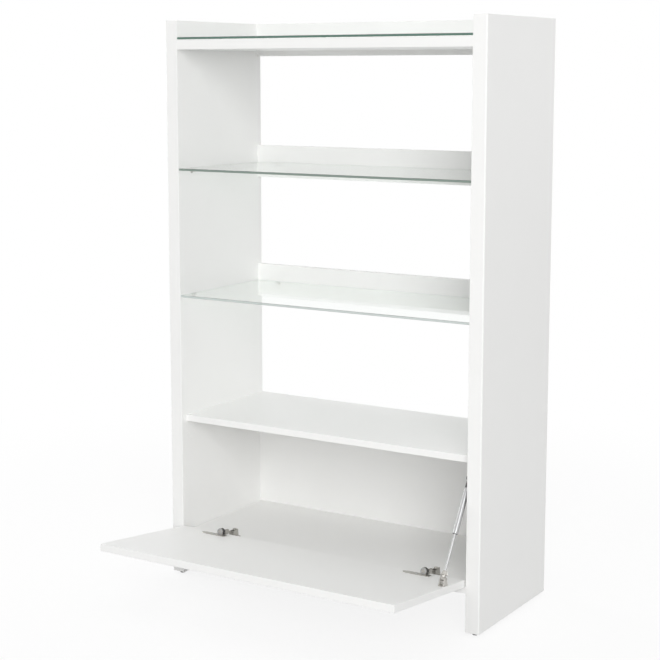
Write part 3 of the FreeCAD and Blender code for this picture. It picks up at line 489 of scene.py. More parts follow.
def beech():
    tones = sizes("finishes")
    paint = Paint("bookcase_beech", IOR=1.5)
    grain = paint.noise(scale=160, detail=5, stretch=(1, 9, 9))
    flecks = paint.noise(scale=900, detail=2, stretch=(1, 5, 5)) > 0.62
    paint.feed("Base Color", paint.tint(darker(tones.beech, 0.72), tones.beech, grain - flecks * 0.25))
    paint.feed("Roughness", grain * 0.2 + 0.5)
    paint.bump(grain, deep=0.0001)
    return paint.material


FINISHES = {
    "white_lacquer": white_lacquer,
    "shelf_glass": shelf_glass,
    "nickel": nickel,
    "bright_steel": bright_steel,
    "zinc": zinc,
    "dark_plastic": dark_plastic,
    "clear_plastic": clear_plastic,
    "beech": beech,
}


def finish_of(slot):
    return bpy.data.materials.get(f"bookcase_{slot}") or FINISHES[slot]()


# Modelling by hand, step by step


def activate(shape):
    """Makes a shape the only one selected, and the active one."""
    bpy.ops.object.select_all(action="DESELECT")
    shape.select_set(True)
    bpy.context.view_layer.objects.active = shape


def named(name):
    """Names the new primitive and moves its place into its mesh."""
    shape = bpy.context.object
    shape.name = name
    return settle(shape)


def settle(shape):
    """Moves a shape's own place, turn and size into its mesh."""
    activate(shape)
    bpy.ops.object.transform_apply(location=True, rotation=True, scale=True)
    return shape


def block(name, low, high):
    """A box between two corners."""
    bpy.ops.object.select_all(action="DESELECT")
    low, high = Vector(low), Vector(high)
    bpy.ops.mesh.primitive_cube_add(size=1, location=(low + high) / 2, scale=high - low)
    return named(name)


def drum(name, axis, radius, start, end, place=(0, 0), tip=None, sides=48):
    """A round bar along an axis, or a cone if its tip has a radius of its own."""
    bpy.ops.object.select_all(action="DESELECT")
    first, second = place
    middle = (start + end) / 2
    spots = {"X": (middle, first, second), "Y": (first, middle, second), "Z": (first, second, middle)}
    bpy.ops.mesh.primitive_cone_add(
        vertices=sides,
        radius1=radius,
        radius2=radius if tip is None else tip,
        depth=end - start,
        location=spots[axis],
        rotation=TURNS[axis],
    )
    return named(name)


@contextmanager
def editing(shape):
    """Edit mode on one shape, with nothing selected at first."""
    activate(shape)
    bpy.ops.object.mode_set(mode="EDIT")
    bpy.ops.mesh.select_all(action="DESELECT")
    yield
    bpy.ops.object.mode_set(mode="OBJECT")


def pick(shape, kind, test):
    """Selects the faces, edges or corners of the shape in edit mode that pass a test."""
    bpy.ops.mesh.select_mode(type=kind)
    bpy.ops.mesh.select_all(action="DESELECT")
    work = bmesh.from_edit_mesh(shape.data)
    items = {"FACE": work.faces, "EDGE": work.edges, "VERT": work.verts}[kind]
    found = [item for item in items if test(item)]
    if not found:
        raise RuntimeError(f"{shape.name}: nothing there to select")
    for item in found:
        item.select_set(True)
    work.select_flush_mode()
    bmesh.update_edit_mesh(shape.data)


def middle_of(edge):
    return sum((corner.co for corner in edge.verts), Vector()) / 2


def either_side(middle, half):
    return middle - half, middle + half


def lowest(edge, axis):
    return min(getattr(corner.co, axis) for corner in edge.verts)


def highest(edge, axis):
    return max(getattr(corner.co, axis) for corner in edge.verts)


def span(edge, axis):
    return highest(edge, axis) - lowest(edge, axis)


def near(spot, reach):
    """A test for edges whose middle lies close to a spot."""
    return lambda edge: (middle_of(edge) - spot).length < reach


def facing(direction):
    """A test for faces that look one way."""
    way = Vector(direction)
    return lambda face: face.normal.dot(way) > NEARLY


def soften(shape, width, steps=2, where=None):
    """Rounds a shape's sharp edges, or the edges that pass a test."""
    with editing(shape):
        if where:
            pick(shape, "EDGE", where)
        else:
            bpy.ops.mesh.select_mode(type="EDGE")
            bpy.ops.mesh.edges_select_sharp(sharpness=math.radians(ROUNDED_ANGLE))
        bpy.ops.mesh.bevel(offset=width, segments=steps, affect="EDGES", clamp_overlap=True)


def modify(shape, kind, **settings):
    """Adds a modifier, sets it up and applies it."""
    activate(shape)
    bpy.ops.object.modifier_add(type=kind)
    modifier = shape.modifiers[-1]
    for word, setting in settings.items():
        setattr(modifier, word, setting)
    bpy.ops.object.modifier_apply(modifier=modifier.name)


def combine(shape, operation, others):
    for other in others:
        modify(shape, "BOOLEAN", operation=operation, object=other, solver="EXACT")
        bpy.data.objects.remove(other)
    return shape


def weld(shape, *others):
    return combine(shape, "UNION", others)


def carve(shape, *others):
    return combine(shape, "DIFFERENCE", others)


def gather(name, shapes):
    """Joins separate shapes into one piece."""
    bpy.ops.object.select_all(action="DESELECT")
    for shape in shapes:
        shape.select_set(True)
    bpy.context.view_layer.objects.active = shapes[0]
    bpy.ops.object.join()
    shapes[0].name = name
    return shapes[0]


def paint_with(shape, slot):
    """Gives a whole shape one finish, before it is joined to others."""
    shape.data.materials.clear()
    shape.data.materials.append(finish_of(slot))
    return shape


def copy_of(shape, matrix):
    """A copy with a mesh of its own, moved into another place."""
    activate(shape)
    bpy.ops.object.duplicate()
    return set_in_place(bpy.context.object, matrix)


def set_in_place(shape, matrix):
    """Moves a shape that was made round its own origin to its place on the bookcase."""
    shape.matrix_world = matrix
    return settle(shape)


def complete(shape, name, body, slot, nodes):
    """Shades a finished shape, paints it and hands it to the body that carries it."""
    shape.name = name
    shape.data.name = name
    activate(shape)
    bpy.ops.object.shade_smooth_by_angle(angle=math.radians(SHARP_ANGLE))
    modify(shape, "WEIGHTED_NORMAL", keep_sharp=True, weight=100)
    if not shape.data.materials:
        paint_with(shape, slot)
    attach(shape, body)
    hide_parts(*nodes)
    return shape


def at_pins(x):
    """The frame of the hinges on the case: its origin is on the hinge pins' axis."""
    return Matrix.Translation((x, HINGE_PIN.y, HINGE_PIN.z))


def on_flap(x=0):
    """The same frame, turned as the open flap is."""
    return at_pins(x) @ Matrix.Rotation(FLAP_TURN, 4, "X")


def countersink(place, face, axis, outward=1):
    """A cutter for a screw whose head is level with a face; outward is -1 if the face looks down the axis."""
    part = sizes("hinges")
    flare = 2 * part.head - part.shank
    first, last = (part.shank, flare) if outward > 0 else (flare, part.shank)
    return drum("countersink", axis, first, *either_side(face, part.head_deep), place, tip=last, sides=32)


# Pieces


class BookcaseSides(Operator):
    """Model the two thick sides, with their rounded arrises and the spare screw holes"""

    bl_idname = "bookcase.sides"
    bl_label = "Sides"

    def execute(self, context):
        boards, strut, hinges = sizes("boards"), sizes("strut"), sizes("hinges")
        for hand, sign in (("left", -1), ("right", 1)):
            low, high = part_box(f"{hand}_side_panel")
            side = block(f"{hand}_side", low, high)
            outer = high.x if sign > 0 else low.x
            corner = Vector((outer, low.y, (low.z + high.z) / 2))
            soften(side, boards.arris, steps=5, where=near(corner, boards.edge))
            soften(side, boards.edge, steps=3)
            if hand == "left":
                plate_low, plate_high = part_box("strut_wall_bracket")
                stud = ((plate_low.y + plate_high.y) / 2, plate_low.z + strut.plate_down)
                start, end = high.x - SPARE_HOLE_DEEP, high.x + boards.arris
                for back, up in PLATE_SCREWS:
                    place = (stud[0] + back, stud[1] + up)
                    carve(side, drum("hole", "X", hinges.shank, start, end, place, sides=24))
            complete(side, f"{hand}_side", "cabinet", "white_lacquer", [f"{hand}_side_panel"])
        return {"FINISHED"}


class BookcaseFlap(Operator):
    """Model the drop-down flap, closed, and turn it open"""

    bl_idname = "bookcase.flap"
    bl_label = "Flap"

    def execute(self, context):
        boards = sizes("boards")
        low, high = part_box("flap_door")
        top = boards.flap_up + boards.flap_long
        flap = block("flap", (low.x, 0, boards.flap_up), (high.x, boards.flap_thick, top))
        soften(flap, boards.edge, steps=3)
        set_in_place(flap, on_flap())
        complete(flap, "flap", "flap", "white_lacquer", ["flap_door"])
        return {"FINISHED"}


class BookcaseGlass(Operator):
    """Model the three panes with their ground edges"""

    bl_idname = "bookcase.glass"
    bl_label = "Glass"

    def execute(self, context):
        for pane in ("top_glass", "upper_glass_shelf", "lower_glass_shelf"):
            glass = block(pane, *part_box(pane))
            soften(glass, sizes("boards").glass_edge, steps=3)
            complete(glass, f"{pane}_pane", "cabinet", "shelf_glass", [pane])
        return {"FINISHED"}


class BookcaseShelfSupports(Operator):
    """Model one shelf support, then set the eight of them in the sides and rails"""

    bl_idname = "bookcase.shelf_supports"
    bl_label = "Shelf Supports"

    def model(self):
        """A support along +X with its seat at zero."""
        part = sizes("supports")
        axis = (0, -part.collar_radius)
        stem = drum("stem", "X", part.stem_radius, -part.stem_long, part.collar_thick / 2, axis, sides=24)
        collar = drum("collar", "X", part.collar_radius, 0, part.collar_thick, axis, sides=40)
        soften(collar, part.collar_thick * 0.3)
        half = part.tongue_wide / 2
        tongue = block("tongue", (0, -half, -part.tongue_thick), (part.tongue_long, half, 0))
        soften(tongue, half * 0.8, steps=6, where=lambda edge: self.tip_corner(edge, part))
        soften(tongue, part.tongue_thick * 0.12)
        return weld(tongue, collar, stem)

    def tip_corner(self, edge, part):
        """True for the tongue's two upright edges at its free end."""
        at_end = lowest(edge, "x") > part.tongue_long * MOST
        return at_end and abs(middle_of(edge).y) > part.tongue_wide / 2 * MOST

    def execute(self, context):
        part = sizes("supports")
        model = self.model()
        side_low, side_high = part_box("side_shelf_supports")
        rail_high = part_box("rail_shelf_supports")[1]
        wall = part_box("right_side_panel")[0].x
        rail_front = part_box("upper_back_rail")[0].y
        along = rail_high.x - part.collar_radius
        side_pieces, rail_pieces = [], []
        for pane in ("upper_glass_shelf", "lower_glass_shelf"):
            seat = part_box(pane)[0].z - part.pad_thick
            front = (side_low.y + side_high.y) / 2
            for sign, turn in ((-1, 0), (1, math.pi)):
                spot = Matrix.Translation((sign * wall, front, seat))
                side_pieces.append(copy_of(model, spot @ Matrix.Rotation(turn, 4, "Z")))
                spot = Matrix.Translation((sign * along, rail_front, seat))
                rail_pieces.append(copy_of(model, spot @ Matrix.Rotation(-math.pi / 2, 4, "Z")))
        bpy.data.objects.remove(model)
        for kind, made in (("side", side_pieces), ("rail", rail_pieces)):
            name = f"{kind}_supports"
            complete(gather(name, made), name, "cabinet", "nickel", [f"{kind}_shelf_supports"])
        return {"FINISHED"}


class BookcaseFeet(Operator):
    """Model the four levelling glides, with grips round their rims"""

    bl_idname = "bookcase.feet"
    bl_label = "Levelling Feet"

    def execute(self, context):
        for foot in ("front_left", "front_right", "back_left", "back_right"):
            low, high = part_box(f"{foot}_foot_glide")
            middle = (low + high) / 2
            radius = (high.x - low.x) / 2
            tall = high.z - low.z
            glide = drum("glide", "Z", radius, low.z, high.z, (middle.x, middle.y), sides=GLIDE_GRIPS * 4)
            near_floor = low.z + tall / 10
            soften(glide, tall * 0.22, steps=3, where=lambda edge: highest(edge, "z") < near_floor)
            with editing(glide):
                pick(glide, "FACE", lambda face: abs(face.normal.z) < HARDLY and self.grip(face, middle))
                bpy.ops.mesh.inset(thickness=radius * 0.03, depth=-radius * 0.06)
            with editing(glide):
                pick(glide, "FACE", facing((0, 0, 1)))
                bpy.ops.mesh.inset(thickness=radius * 0.3)
                bpy.ops.mesh.inset(thickness=radius * 0.05, depth=-tall * 0.12)
            complete(glide, f"{foot}_glide", f"{foot}_foot", "dark_plastic", [f"{foot}_foot_glide"])
        return {"FINISHED"}

    def grip(self, face, middle):
        """Every second pair of the rim's faces is a grip."""
        spot = face.calc_center_median() - middle
        turn = math.atan2(spot.y, spot.x) / (2 * math.pi) * GLIDE_GRIPS
        return turn % 1 < 0.5


class BookcaseHingePieces(Operator):
    """Model the leaves and barrel of the two flap hinges"""

    bl_idname = "bookcase.hinge_pieces"
    bl_label = "Hinges"

    def flap_leaf(self):
        """The plate on the flap, its strap round the flap's edge and its knuckle."""
        part, boards = sizes("hinges"), sizes("boards")
        face = boards.flap_thick + part.leaf_thick
        low, high = either_side(part.leaf_up, part.leaf_half)
        plate = block("leaf", (-part.leaf_left, boards.flap_thick, low), (part.leaf_right, face, high))
        with editing(plate):
            bpy.ops.mesh.select_all(action="SELECT")
            bpy.ops.mesh.bisect(plane_co=(part.taper - part.leaf_left, 0, 0), plane_no=(1, 0, 0))
            pick(plate, "VERT", lambda corner: corner.co.x < -part.leaf_left * NEARLY)
            narrow = part.tip_half / part.leaf_half
            centre = (-part.leaf_left, face, part.leaf_up)
            bpy.ops.transform.resize(value=(1, 1, narrow), center_override=centre)
        soften(plate, part.tip_half * 0.9, steps=5, where=lambda edge: self.upright(edge, part))
        strap_x = either_side(part.across, part.strap_half)
        hook_low = boards.flap_up - part.leaf_thick
        strap_high = (strap_x[1], face, low + part.leaf_thick)
        strap = block("strap", (strap_x[0], boards.flap_thick, hook_low), strap_high)
        hook = block("hook", (strap_x[0], 0, hook_low), (strap_x[1], face, boards.flap_up))
        knuckle = drum("knuckle", "X", part.knuckle, *strap_x, sides=40)
        leaf = weld(plate, strap, hook, knuckle)
        soften(leaf, part.leaf_thick * 0.14)
        for x in (-part.screw_left, part.screw_right):
            carve(leaf, countersink((x, part.leaf_up), face, "Y"))
        margin = part.leaf_thick
        carve(leaf, drum("bore", "X", part.pin, strap_x[0] - margin, strap_x[1] + margin, sides=24))
        floor = boards.flap_thick + part.leaf_thick * 0.4
        slot_low = (-part.slot_left, floor, part.leaf_up - part.slot_half)
        slot = block("slot", slot_low, (part.slot_right, face + margin, part.leaf_up + part.slot_half))
        soften(slot, part.slot_half * 0.95, steps=6, where=lambda edge: self.through(edge, part))
        carve(leaf, slot)
        place = ((part.slot_right - part.slot_left) / 2, part.leaf_up)
        stay = drum("stay", "Y", part.stay, floor, face + part.leaf_thick * 0.4, place, sides=32)
        soften(stay, part.stay * 0.3, steps=3, where=lambda edge: lowest(edge, "y") > face)
        return gather("flap_leaf", [paint_with(leaf, "nickel"), paint_with(stay, "zinc")])

    def through(self, edge, part):
        """True for edges that run straight through a plate."""
        return span(edge, "x") + span(edge, "z") < part.leaf_thick * HARDLY

    def upright(self, edge, part):
        """True for the plate's edges that run through its thickness at its two ends."""
        spot = middle_of(edge).x
        at_end = spot < -part.leaf_left * NEARLY or spot > part.leaf_right * NEARLY
        return at_end and self.through(edge, part)

    def barrel(self):
        """The round housing: a dished cap with a bright ring, a body in dark plastic whose darkness is also
        painted shade beside the arm, and the yoke behind it.
        """
        part, boards = sizes("hinges"), sizes("boards")
        face = boards.flap_thick + part.leaf_thick
        place = (part.across, face + part.barrel)
        cap_low = part.barrel_high - part.cap
        # The body is dark plastic, and its darkness also stands in as painted shade between the barrel and
        # the arm
        body = self.housing("body", part.barrel * 0.95, part.barrel_low, cap_low, place, face)
        cap = self.housing("cap", part.barrel, cap_low, part.barrel_high, place, face)
        ring = drum("ring", "Z", part.barrel * 0.98, *either_side(part.barrel_high, part.ring), place)
        soften(ring, part.ring * 0.6, steps=3)
        reach, mouth = part.barrel_high - part.barrel_low, part.barrel_high + part.cap
        hollows = ((part.dish, reach / 16), (part.screw, reach / 2))
        for shape in (body, cap, ring):
            for radius, deep in hollows:
                start = part.barrel_high - deep
                carve(shape, drum("dish", "Z", radius, start, mouth, place))
        # Dark plastic on the body: partly its own colour, partly painted shade beside the arm
        shapes = [paint_with(cap, "nickel"), paint_with(body, "dark_plastic"), paint_with(ring, "zinc")]
        return gather("barrel", [*shapes, paint_with(self.yoke(face), "nickel")])

    def housing(self, name, radius, start, end, place, face):
        """A length of the barrel with a square foot that reaches the leaf."""
        round_part = drum(name, "Z", radius, start, end, place, sides=64)
        foot_low = (place[0] - radius * 0.9, face, start)
        foot = block("foot", foot_low, (place[0] + radius * 0.9, place[1] - radius * 0.3, end))
        shape = weld(round_part, foot)
        soften(shape, radius * 0.06, steps=3)
        return shape

    def yoke(self, face):
        """A plate behind the barrel with two cheeks that pass each side of the arm."""
        part = sizes("hinges")
        inner = part.arm_half + part.yoke_gap
        outer = inner + part.yoke
        top = face + part.yoke_high
        plate_low = (part.across - outer, face, part.barrel_low - part.yoke)
        yoke = block("yoke", plate_low, (part.across + outer, top, part.barrel_low))
        for sign in (-1, 1):
            sides = sorted((part.across + sign * inner, part.across + sign * outer))
            low = (sides[0], face, part.yoke_start)
            cheek = block("cheek", low, (sides[1], top, part.barrel_low))
            soften(cheek, part.yoke_high * 0.6, steps=8, where=lambda edge: self.cheek_corner(edge, top))
            weld(yoke, cheek)
        soften(yoke, part.yoke * 0.2)
        return yoke

    def cheek_corner(self, edge, top):
        """True for the cheek's high edge at its free end."""
        return lowest(edge, "y") > top * NEARLY and highest(edge, "z") < sizes("hinges").yoke_start / MOST

    def cabinet_leaf(self):
        """The base on the board with its knuckles, and the stepped arm with a recess in its top."""
        part = sizes("hinges")
        base_x = either_side(part.across, part.base_half)
        arm_x = either_side(part.across, part.arm_half)
        base_top = part.base_up + part.leaf_thick
        gap = part.strap_half + part.pin * 0.3
        base = block("base", (base_x[0], 0, part.base_up), (base_x[1], part.base_back, base_top))
        tail = part.base_half * 0.3
        soften(base, tail, steps=5, where=lambda edge: self.tail_corner(edge, part))
        knuckles = drum("knuckles", "X", part.knuckle, *base_x, sides=40)
        leaf = weld(base, knuckles)
        mouth_low = (part.across - gap, -part.knuckle * 2, -part.knuckle * 2)
        mouth_high = (part.across + gap, part.arm_front - part.pin / 3, part.knuckle * 2)
        carve(leaf, block("mouth", mouth_low, mouth_high))
        arm_high = (arm_x[1], part.arm_tail, part.arm_tower_up)
        nose = block("arm", (arm_x[0], part.arm_front, part.base_up), arm_high)
        with editing(nose):
            pick(nose, "VERT", lambda corner: corner.co.y > part.arm_tail * NEARLY and corner.co.z > base_top)
            back = part.arm_tower + part.arm_tower_top - part.arm_tail
            bpy.ops.transform.translate(value=(0, back, 0))
        step_low = (arm_x[0] - part.pin, part.arm_front - part.pin, part.arm_nose_up)
        step_high = (arm_x[1] + part.pin, part.arm_tower, part.arm_tower_up + part.pin)
        carve(nose, block("step", step_low, step_high))
        wall = part.leaf_thick
        recess_low = (arm_x[0] + wall, part.arm_front + wall, part.arm_nose_up - part.arm_half)
        recess_high = (arm_x[1] - wall, part.arm_tower - wall, part.arm_nose_up + part.pin)
        carve(nose, block("recess", recess_low, recess_high))
        soften(nose, part.leaf_thick * 0.25)
        ends = (arm_x[0] - part.pin / 3, arm_x[1] + part.pin / 3)
        tower_middle = part.arm_tower + part.arm_tower_top / 2
        cross_place = (part.arm_front + part.arm_half, part.arm_nose_up - part.arm_half / 2)
        cross = drum("cross_pin", "X", part.pin, *ends, cross_place, sides=24)
        rivet = drum("rivet", "X", part.pin * 1.4, *ends, (tower_middle, part.arm_nose_up), sides=24)
        weld(leaf, nose, cross, rivet)
        lift = part.bump * 0.8
        for back, level in ((part.arm_tower - lift, part.arm_nose_up), (tower_middle, part.arm_tower_up)):
            rise = either_side(level, lift)
            bump = drum("adjuster", "Z", part.bump, *rise, (part.across, back), sides=32)
            soften(bump, part.bump * 0.3, steps=3)
            weld(leaf, bump)
        for x in either_side(part.across, part.base_screw_out):
            carve(leaf, countersink((x, part.base_screw_back), base_top, "Z"))
        return leaf

    def tail_corner(self, edge, part):
        """True for the base's two upright edges at the back."""
        at_back = lowest(edge, "y") > part.base_back * NEARLY
        return at_back and span(edge, "x") < part.leaf_thick * HARDLY

    def execute(self, context):
        models = {"flap_leaf": self.flap_leaf(), "barrel": self.barrel(), "cabinet_leaf": self.cabinet_leaf()}
        part = sizes("hinges")
        for hand in ("left", "right"):
            pin_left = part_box(f"{hand}_hinge_pin")[0].x
            middle = pin_left - (part.across - part.base_half)
            places = {"cabinet": at_pins(middle), "flap": on_flap(middle)}
            for name, model in models.items():
                body = "cabinet" if name == "cabinet_leaf" else "flap"
                piece = copy_of(model, places[body])
                complete(piece, f"{hand}_{name}", body, "nickel", [f"{hand}_hinge_{name}"])
        for model in models.values():
            bpy.data.objects.remove(model)
        return {"FINISHED"}


class BookcaseStrutPieces(Operator):
    """Model the gas strut, its foot on the flap and its bracket on the side"""

    bl_idname = "bookcase.strut_pieces"
    bl_label = "Gas Strut"

    def stud(self):
        low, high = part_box("strut_wall_bracket")
        return Vector((FOOT_PIN.x, (low.y + high.y) / 2, low.z + sizes("strut").plate_down))

    def lower_eye(self):
        part = sizes("strut")
        eye = drum("eye", "X", part.eye, -part.eye_half, part.eye_half, sides=40)
        neck = drum("neck", "Z", part.neck, 0, part.neck_long, sides=32)
        soften(eye, part.eye * 0.08)
        soften(neck, part.neck * 0.2, steps=3, where=lambda edge: lowest(edge, "z") > part.neck_long * NEARLY)
        bore = drum("bore", "X", part.rod, *either_side(0, part.eye_half * 2), sides=32)
        carve(weld(eye, neck), bore)
        return gather("eye", [paint_with(eye, "nickel"), paint_with(self.clip(), "nickel")])

    def clip(self):
        """The wedge-shaped clip that holds the rod's end, with a panel sunk in each side."""
        part = sizes("strut")
        deep = part.clip_wide * 0.8
        clip = block("clip", (-part.clip_wide, -deep, part.clip_start), (part.clip_wide, deep, part.clip_end))
        with editing(clip):
            pick(clip, "VERT", lambda corner: corner.co.z > (part.clip_start + part.clip_end) / 2)
            taper = part.clip_narrow / part.clip_wide
            bpy.ops.transform.resize(value=(taper, taper, 1), center_override=(0, 0, part.clip_end))
        soften(clip, part.clip_narrow * 0.22, steps=3)
        narrow = part.clip_narrow
        large = part.clip_wide**2
        with editing(clip):
            pick(clip, "FACE", lambda face: face.calc_area() > large and abs(face.normal.z) < SIDEWAYS)
            bpy.ops.mesh.inset(thickness=narrow * 0.3, depth=0, use_individual=True)
            bpy.ops.mesh.inset(thickness=narrow * 0.1, depth=-narrow * 0.18, use_individual=True)
        return clip

    def tube(self, total):
        """The pressure tube, rolled in at its lower end and stepped in at its upper end."""
        part = sizes("strut")
        high = total - part.tube_start
        low = high - part.tube_long
        tube = drum("tube", "Z", part.tube, low, high, sides=64)
        skin = part.rod / 10
        soften(tube, part.tube * 0.28, steps=5, where=lambda edge: highest(edge, "z") < low + skin)
        soften(tube, part.tube * 0.14, steps=3, where=lambda edge: lowest(edge, "z") > high - skin)
        with editing(tube):
            pick(tube, "FACE", facing((0, 0, -1)))
            bpy.ops.mesh.inset(thickness=part.tube * 0.16)
            bpy.ops.mesh.inset(thickness=part.tube * 0.03, depth=-part.tube * 0.2)
        bore = drum("bore", "Z", part.rod * 1.04, low - part.rod, low + part.tube, sides=32)
        return carve(tube, bore)

    def socket(self, total):
        part = sizes("strut")
        head = drum("head", "X", part.socket, -part.socket_half, part.socket_half, (0, total))
        soften(head, part.socket * 0.1, steps=3)
        start = total - part.tube_start
        neck = drum("neck", "Z", part.socket_neck, start, total)
        collar = drum("collar", "Z", part.socket_half, start, start + part.stud)
        soften(collar, part.stud * 0.15)
        body = weld(head, neck, collar)
        ends = (part.socket_half / 2, part.socket_half * 2)
        return carve(body, drum("dimple", "X", part.stud * 1.1, *ends, (0, total), sides=32))

    def foot(self):
        """The foot in the closed flap's frame: a plate with two ears that narrow towards the pin."""
        part, boards = sizes("strut"), sizes("boards")
        face = boards.flap_thick
        plate_low = (-part.foot_half, face, part.foot_up - part.foot_long)
        plate_high = (part.foot_half, face + part.foot_thick, part.foot_up + part.foot_long)
        foot = block("foot", plate_low, plate_high)
        through = part.foot_thick * MOST
        soften(foot, part.foot_thick * 0.6, steps=4, where=lambda edge: span(edge, "y") > through)
        soften(foot, part.foot_thick * 0.15)
        top = face + part.foot_lift + part.ear_over
        ears = []
        for start in (-part.foot_half, part.foot_half - part.ear):
            low = (start, face + part.foot_thick / 2, part.foot_up - part.ear_base)
            high = (start + part.ear, top, part.foot_up + part.ear_base)
            ear = block("ear", low, high)
            with editing(ear):
                pick(ear, "VERT", lambda corner: corner.co.y > top - part.ear / 10)
                narrow = part.ear_top / part.ear_base
                bpy.ops.transform.resize(value=(1, 1, narrow), center_override=(0, top, part.foot_up))
            soften(ear, part.ear_top * 0.75, steps=5, where=lambda edge: self.ear_top_edge(edge, top, part))
            soften(ear, part.ear * 0.12)
            ears.append(ear)
        return weld(foot, *ears)

    def ear_top_edge(self, edge, top, part):
        """True for an ear's edges that run through it at its top."""
        return lowest(edge, "y") > top - part.ear / 10 and span(edge, "x") > part.ear * MOST

    def rivet(self):
        """The foot's pin, with a low dome at each end."""
        part, boards = sizes("strut"), sizes("boards")
        place = (boards.flap_thick + part.foot_lift, part.foot_up)
        rivet = drum("rivet", "X", part.rod, -part.foot_half, part.foot_half, place, sides=32)
        soften(rivet, part.rod * 0.35, steps=4)
        return rivet

    def bracket(self):
        """The wall plate with rounded corners and the stud that the socket hangs on."""
        part = sizes("strut")
        low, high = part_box("strut_wall_bracket")
        plate = block("plate", (high.x - part.plate, low.y, low.z), high)
        through = part.plate * MOST
        soften(plate, part.plate * 2, steps=6, where=lambda edge: span(edge, "x") > through)
        soften(plate, part.plate * 0.15)
        stud = self.stud()
        pin = drum("stud", "X", part.stud, low.x, high.x - part.plate / 2, (stud.y, stud.z), sides=32)
        bracket = weld(plate, pin)
        for back, up in PLATE_SCREWS:
            place = (stud.y + back, stud.z + up)
            carve(bracket, countersink(place, high.x - part.plate, "X", outward=-1))
        return bracket

    def execute(self, context):
        part = sizes("strut")
        stud = self.stud()
        line = stud - FOOT_PIN
        total = line.length
        lean = Matrix.Rotation(math.atan2(-line.y, line.z), 4, "X")
        along = Matrix.Translation(FOOT_PIN) @ lean
        rod = drum("rod", "Z", part.rod, part.neck_long / 2, part.rod_end)
        soften(rod, part.rod * 0.15)
        pieces = [
            (self.lower_eye(), "strut_eye", along, "strut_rod", "nickel", "strut_lower_eye"),
            (rod, "piston_rod", along, "strut_rod", "bright_steel", "strut_rod"),
            (self.tube(total), "pressure_tube", along, "strut_tube", "bright_steel", "strut_tube"),
            (self.socket(total), "upper_socket", along, "strut_tube", "dark_plastic", "strut_upper_socket"),
            (self.foot(), "flap_foot", on_flap(FOOT_PIN.x), "flap", "nickel", "strut_foot"),
            (self.rivet(), "foot_rivet", on_flap(FOOT_PIN.x), "flap", "bright_steel", "strut_foot_pin"),
            (self.bracket(), "wall_bracket", Matrix(), "cabinet", "nickel", "strut_wall_bracket"),
        ]
        for shape, name, matrix, body, slot, node in pieces:
            complete(set_in_place(shape, matrix), name, body, slot, [node])
        return {"FINISHED"}


class BookcaseFittings(Operator):
    """Paint the boards and fittings that stay as the frame has them"""

    bl_idname = "bookcase.fittings"
    bl_label = "Boards and Fittings"

    def execute(self, context):
        for node in frame["nodes"].values():
            for slot in node.material_slots:
                slot.material = finish_of(slot.material.name)
        return {"FINISHED"}


# Stage


def seen(nodes):
    """1 for what the camera sees straight, in gloss or through glass, and 0 for light on the object."""
    straight, gloss, through = (nodes.node("ShaderNodeLightPath", out=name) for name in SEEN_RAYS)
    return straight | gloss | through


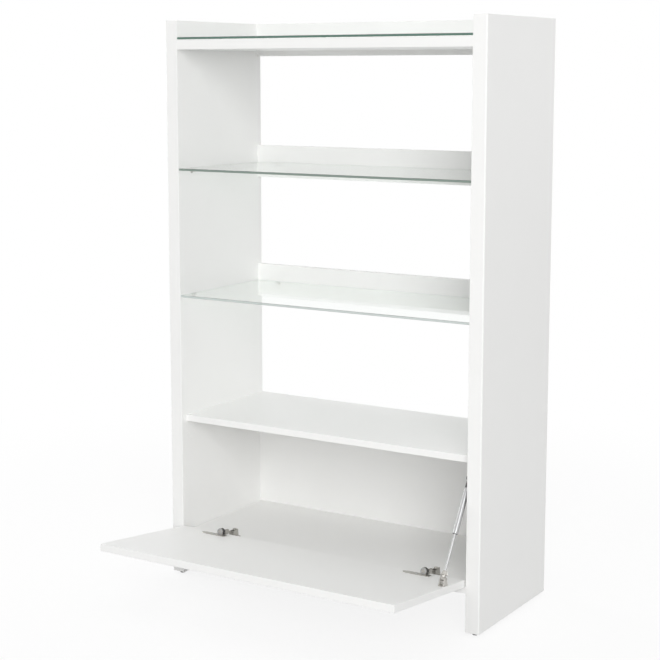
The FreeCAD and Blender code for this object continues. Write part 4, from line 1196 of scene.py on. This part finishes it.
class BookcaseStageSet(Operator):
    """Set the floor, the lights and the camera"""

    bl_idname = "bookcase.stage_set"
    bl_label = "Stage"

    def floor(self, stage):
        """A pale floor that looks white and keeps a faint shadow round the bookcase."""
        bpy.ops.object.select_all(action="DESELECT")
        bpy.ops.mesh.primitive_plane_add(size=stage.floor_half * 2, location=(0, 0, 0))
        floor = named("floor")
        material = bpy.data.materials.new("stage_floor")
        nodes = Nodes(material)
        nodes.tree.nodes.clear()
        point = nodes.node("ShaderNodeTexCoord", out="Object")
        away = nodes.node("ShaderNodeVectorMath", {"operation": "LENGTH"}, {0: point}, out="Value")
        reach = {"Value": away, "From Min": stage.shadow_reach / 2, "From Max": stage.shadow_reach}
        fade = nodes.node("ShaderNodeMapRange", {"interpolation_type": "SMOOTHSTEP"}, reach)
        plain = fade * stage.shadow + (1 - stage.shadow)
        pale = nodes.node("ShaderNodeBsdfDiffuse", {}, {"Color": (*stage.floor, 1)})
        shaded = nodes.node("ShaderNodeBsdfDiffuse", {}, {"Color": (1, 1, 1, 1)})
        white = nodes.node("ShaderNodeEmission")
        ground = nodes.node("ShaderNodeMixShader", {}, {"Fac": plain, 1: shaded, 2: white})
        look = nodes.node("ShaderNodeMixShader", {}, {"Fac": seen(nodes), 1: pale, 2: ground})
        nodes.node("ShaderNodeOutputMaterial", {}, {"Surface": look})
        floor.data.materials.append(material)

    def room(self, stage):
        """Even light from all round, in a room that looks white."""
        world = bpy.data.worlds.new("stage_room")
        bpy.context.scene.world = world
        nodes = Nodes(world)
        nodes.tree.nodes.clear()
        light = nodes.node("ShaderNodeBackground", {}, {"Color": (1, 1, 1, 1), "Strength": stage.room_light})
        white = nodes.node("ShaderNodeBackground", {}, {"Color": (1, 1, 1, 1), "Strength": 1})
        look = nodes.node("ShaderNodeMixShader", {}, {"Fac": seen(nodes), 1: light, 2: white})
        nodes.node("ShaderNodeOutputWorld", {}, {"Surface": look})

    def lamp(self, name, power, wide, place, target):
        bpy.ops.object.light_add(type="AREA", location=place)
        lamp = bpy.context.object
        lamp.name = name
        lamp.data.shape = "SQUARE"
        lamp.data.size = wide
        lamp.data.energy = power
        lamp.rotation_euler = (Vector(target) - Vector(place)).to_track_quat("-Z", "Y").to_euler()

    def execute(self, context):
        stage = sizes("stage")
        self.floor(stage)
        self.room(stage)
        low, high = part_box("left_side_panel")
        front = low.y
        middle = Vector((0, front, high.z / 2))
        for name in ("key", "top", "back", "left"):
            spot = Vector(getattr(stage, f"{name}_place"))
            self.lamp(f"{name}_lamp", getattr(stage, f"{name}_power"), stage.lamp_wide, spot, middle)
        place = (stage.camera_right, front - stage.camera_front, stage.camera_up)
        turn = Euler((math.pi / 2 - stage.camera_tilt, 0, stage.camera_turn))
        bpy.ops.object.camera_add(location=place, rotation=turn)
        camera = bpy.context.object
        camera.data.lens = stage.lens
        camera.data.shift_y = stage.camera_shift
        scene = bpy.context.scene
        scene.camera = camera
        scene.view_settings.view_transform = "Standard"
        return {"FINISHED"}


OPERATORS = (
    BookcaseSides,
    BookcaseFlap,
    BookcaseGlass,
    BookcaseShelfSupports,
    BookcaseFeet,
    BookcaseHingePieces,
    BookcaseStrutPieces,
    BookcaseFittings,
    BookcaseStageSet,
)


class BookcasePanel(Panel):
    """The bookcase's pieces in the sidebar"""

    bl_idname = "VIEW3D_PT_bookcase"
    bl_label = "Bookcase"
    bl_space_type = "VIEW_3D"
    bl_region_type = "UI"
    bl_category = "Bookcase"

    def draw(self, context):
        for operator in OPERATORS:
            self.layout.operator(operator.bl_idname)
        for group, kind in GROUPS.items():
            box = self.layout.box()
            box.label(text=kind.__doc__)
            for word in kind.__annotations__:
                box.prop(sizes(group), word)


CLASSES = (*GROUPS.values(), *OPERATORS, BookcasePanel)


def register():
    for kind in CLASSES:
        bpy.utils.register_class(kind)
    for group, kind in GROUPS.items():
        setattr(bpy.types.Scene, f"bookcase_{group}", PointerProperty(type=kind))


def unregister():
    for group in GROUPS:
        delattr(bpy.types.Scene, f"bookcase_{group}")
    for kind in reversed(CLASSES):
        bpy.utils.unregister_class(kind)


def main():
    register()
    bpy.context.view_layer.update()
    for operator in OPERATORS:
        area, name = operator.bl_idname.split(".")
        getattr(getattr(bpy.ops, area), name)()


if __name__ == "__main__":
    main()
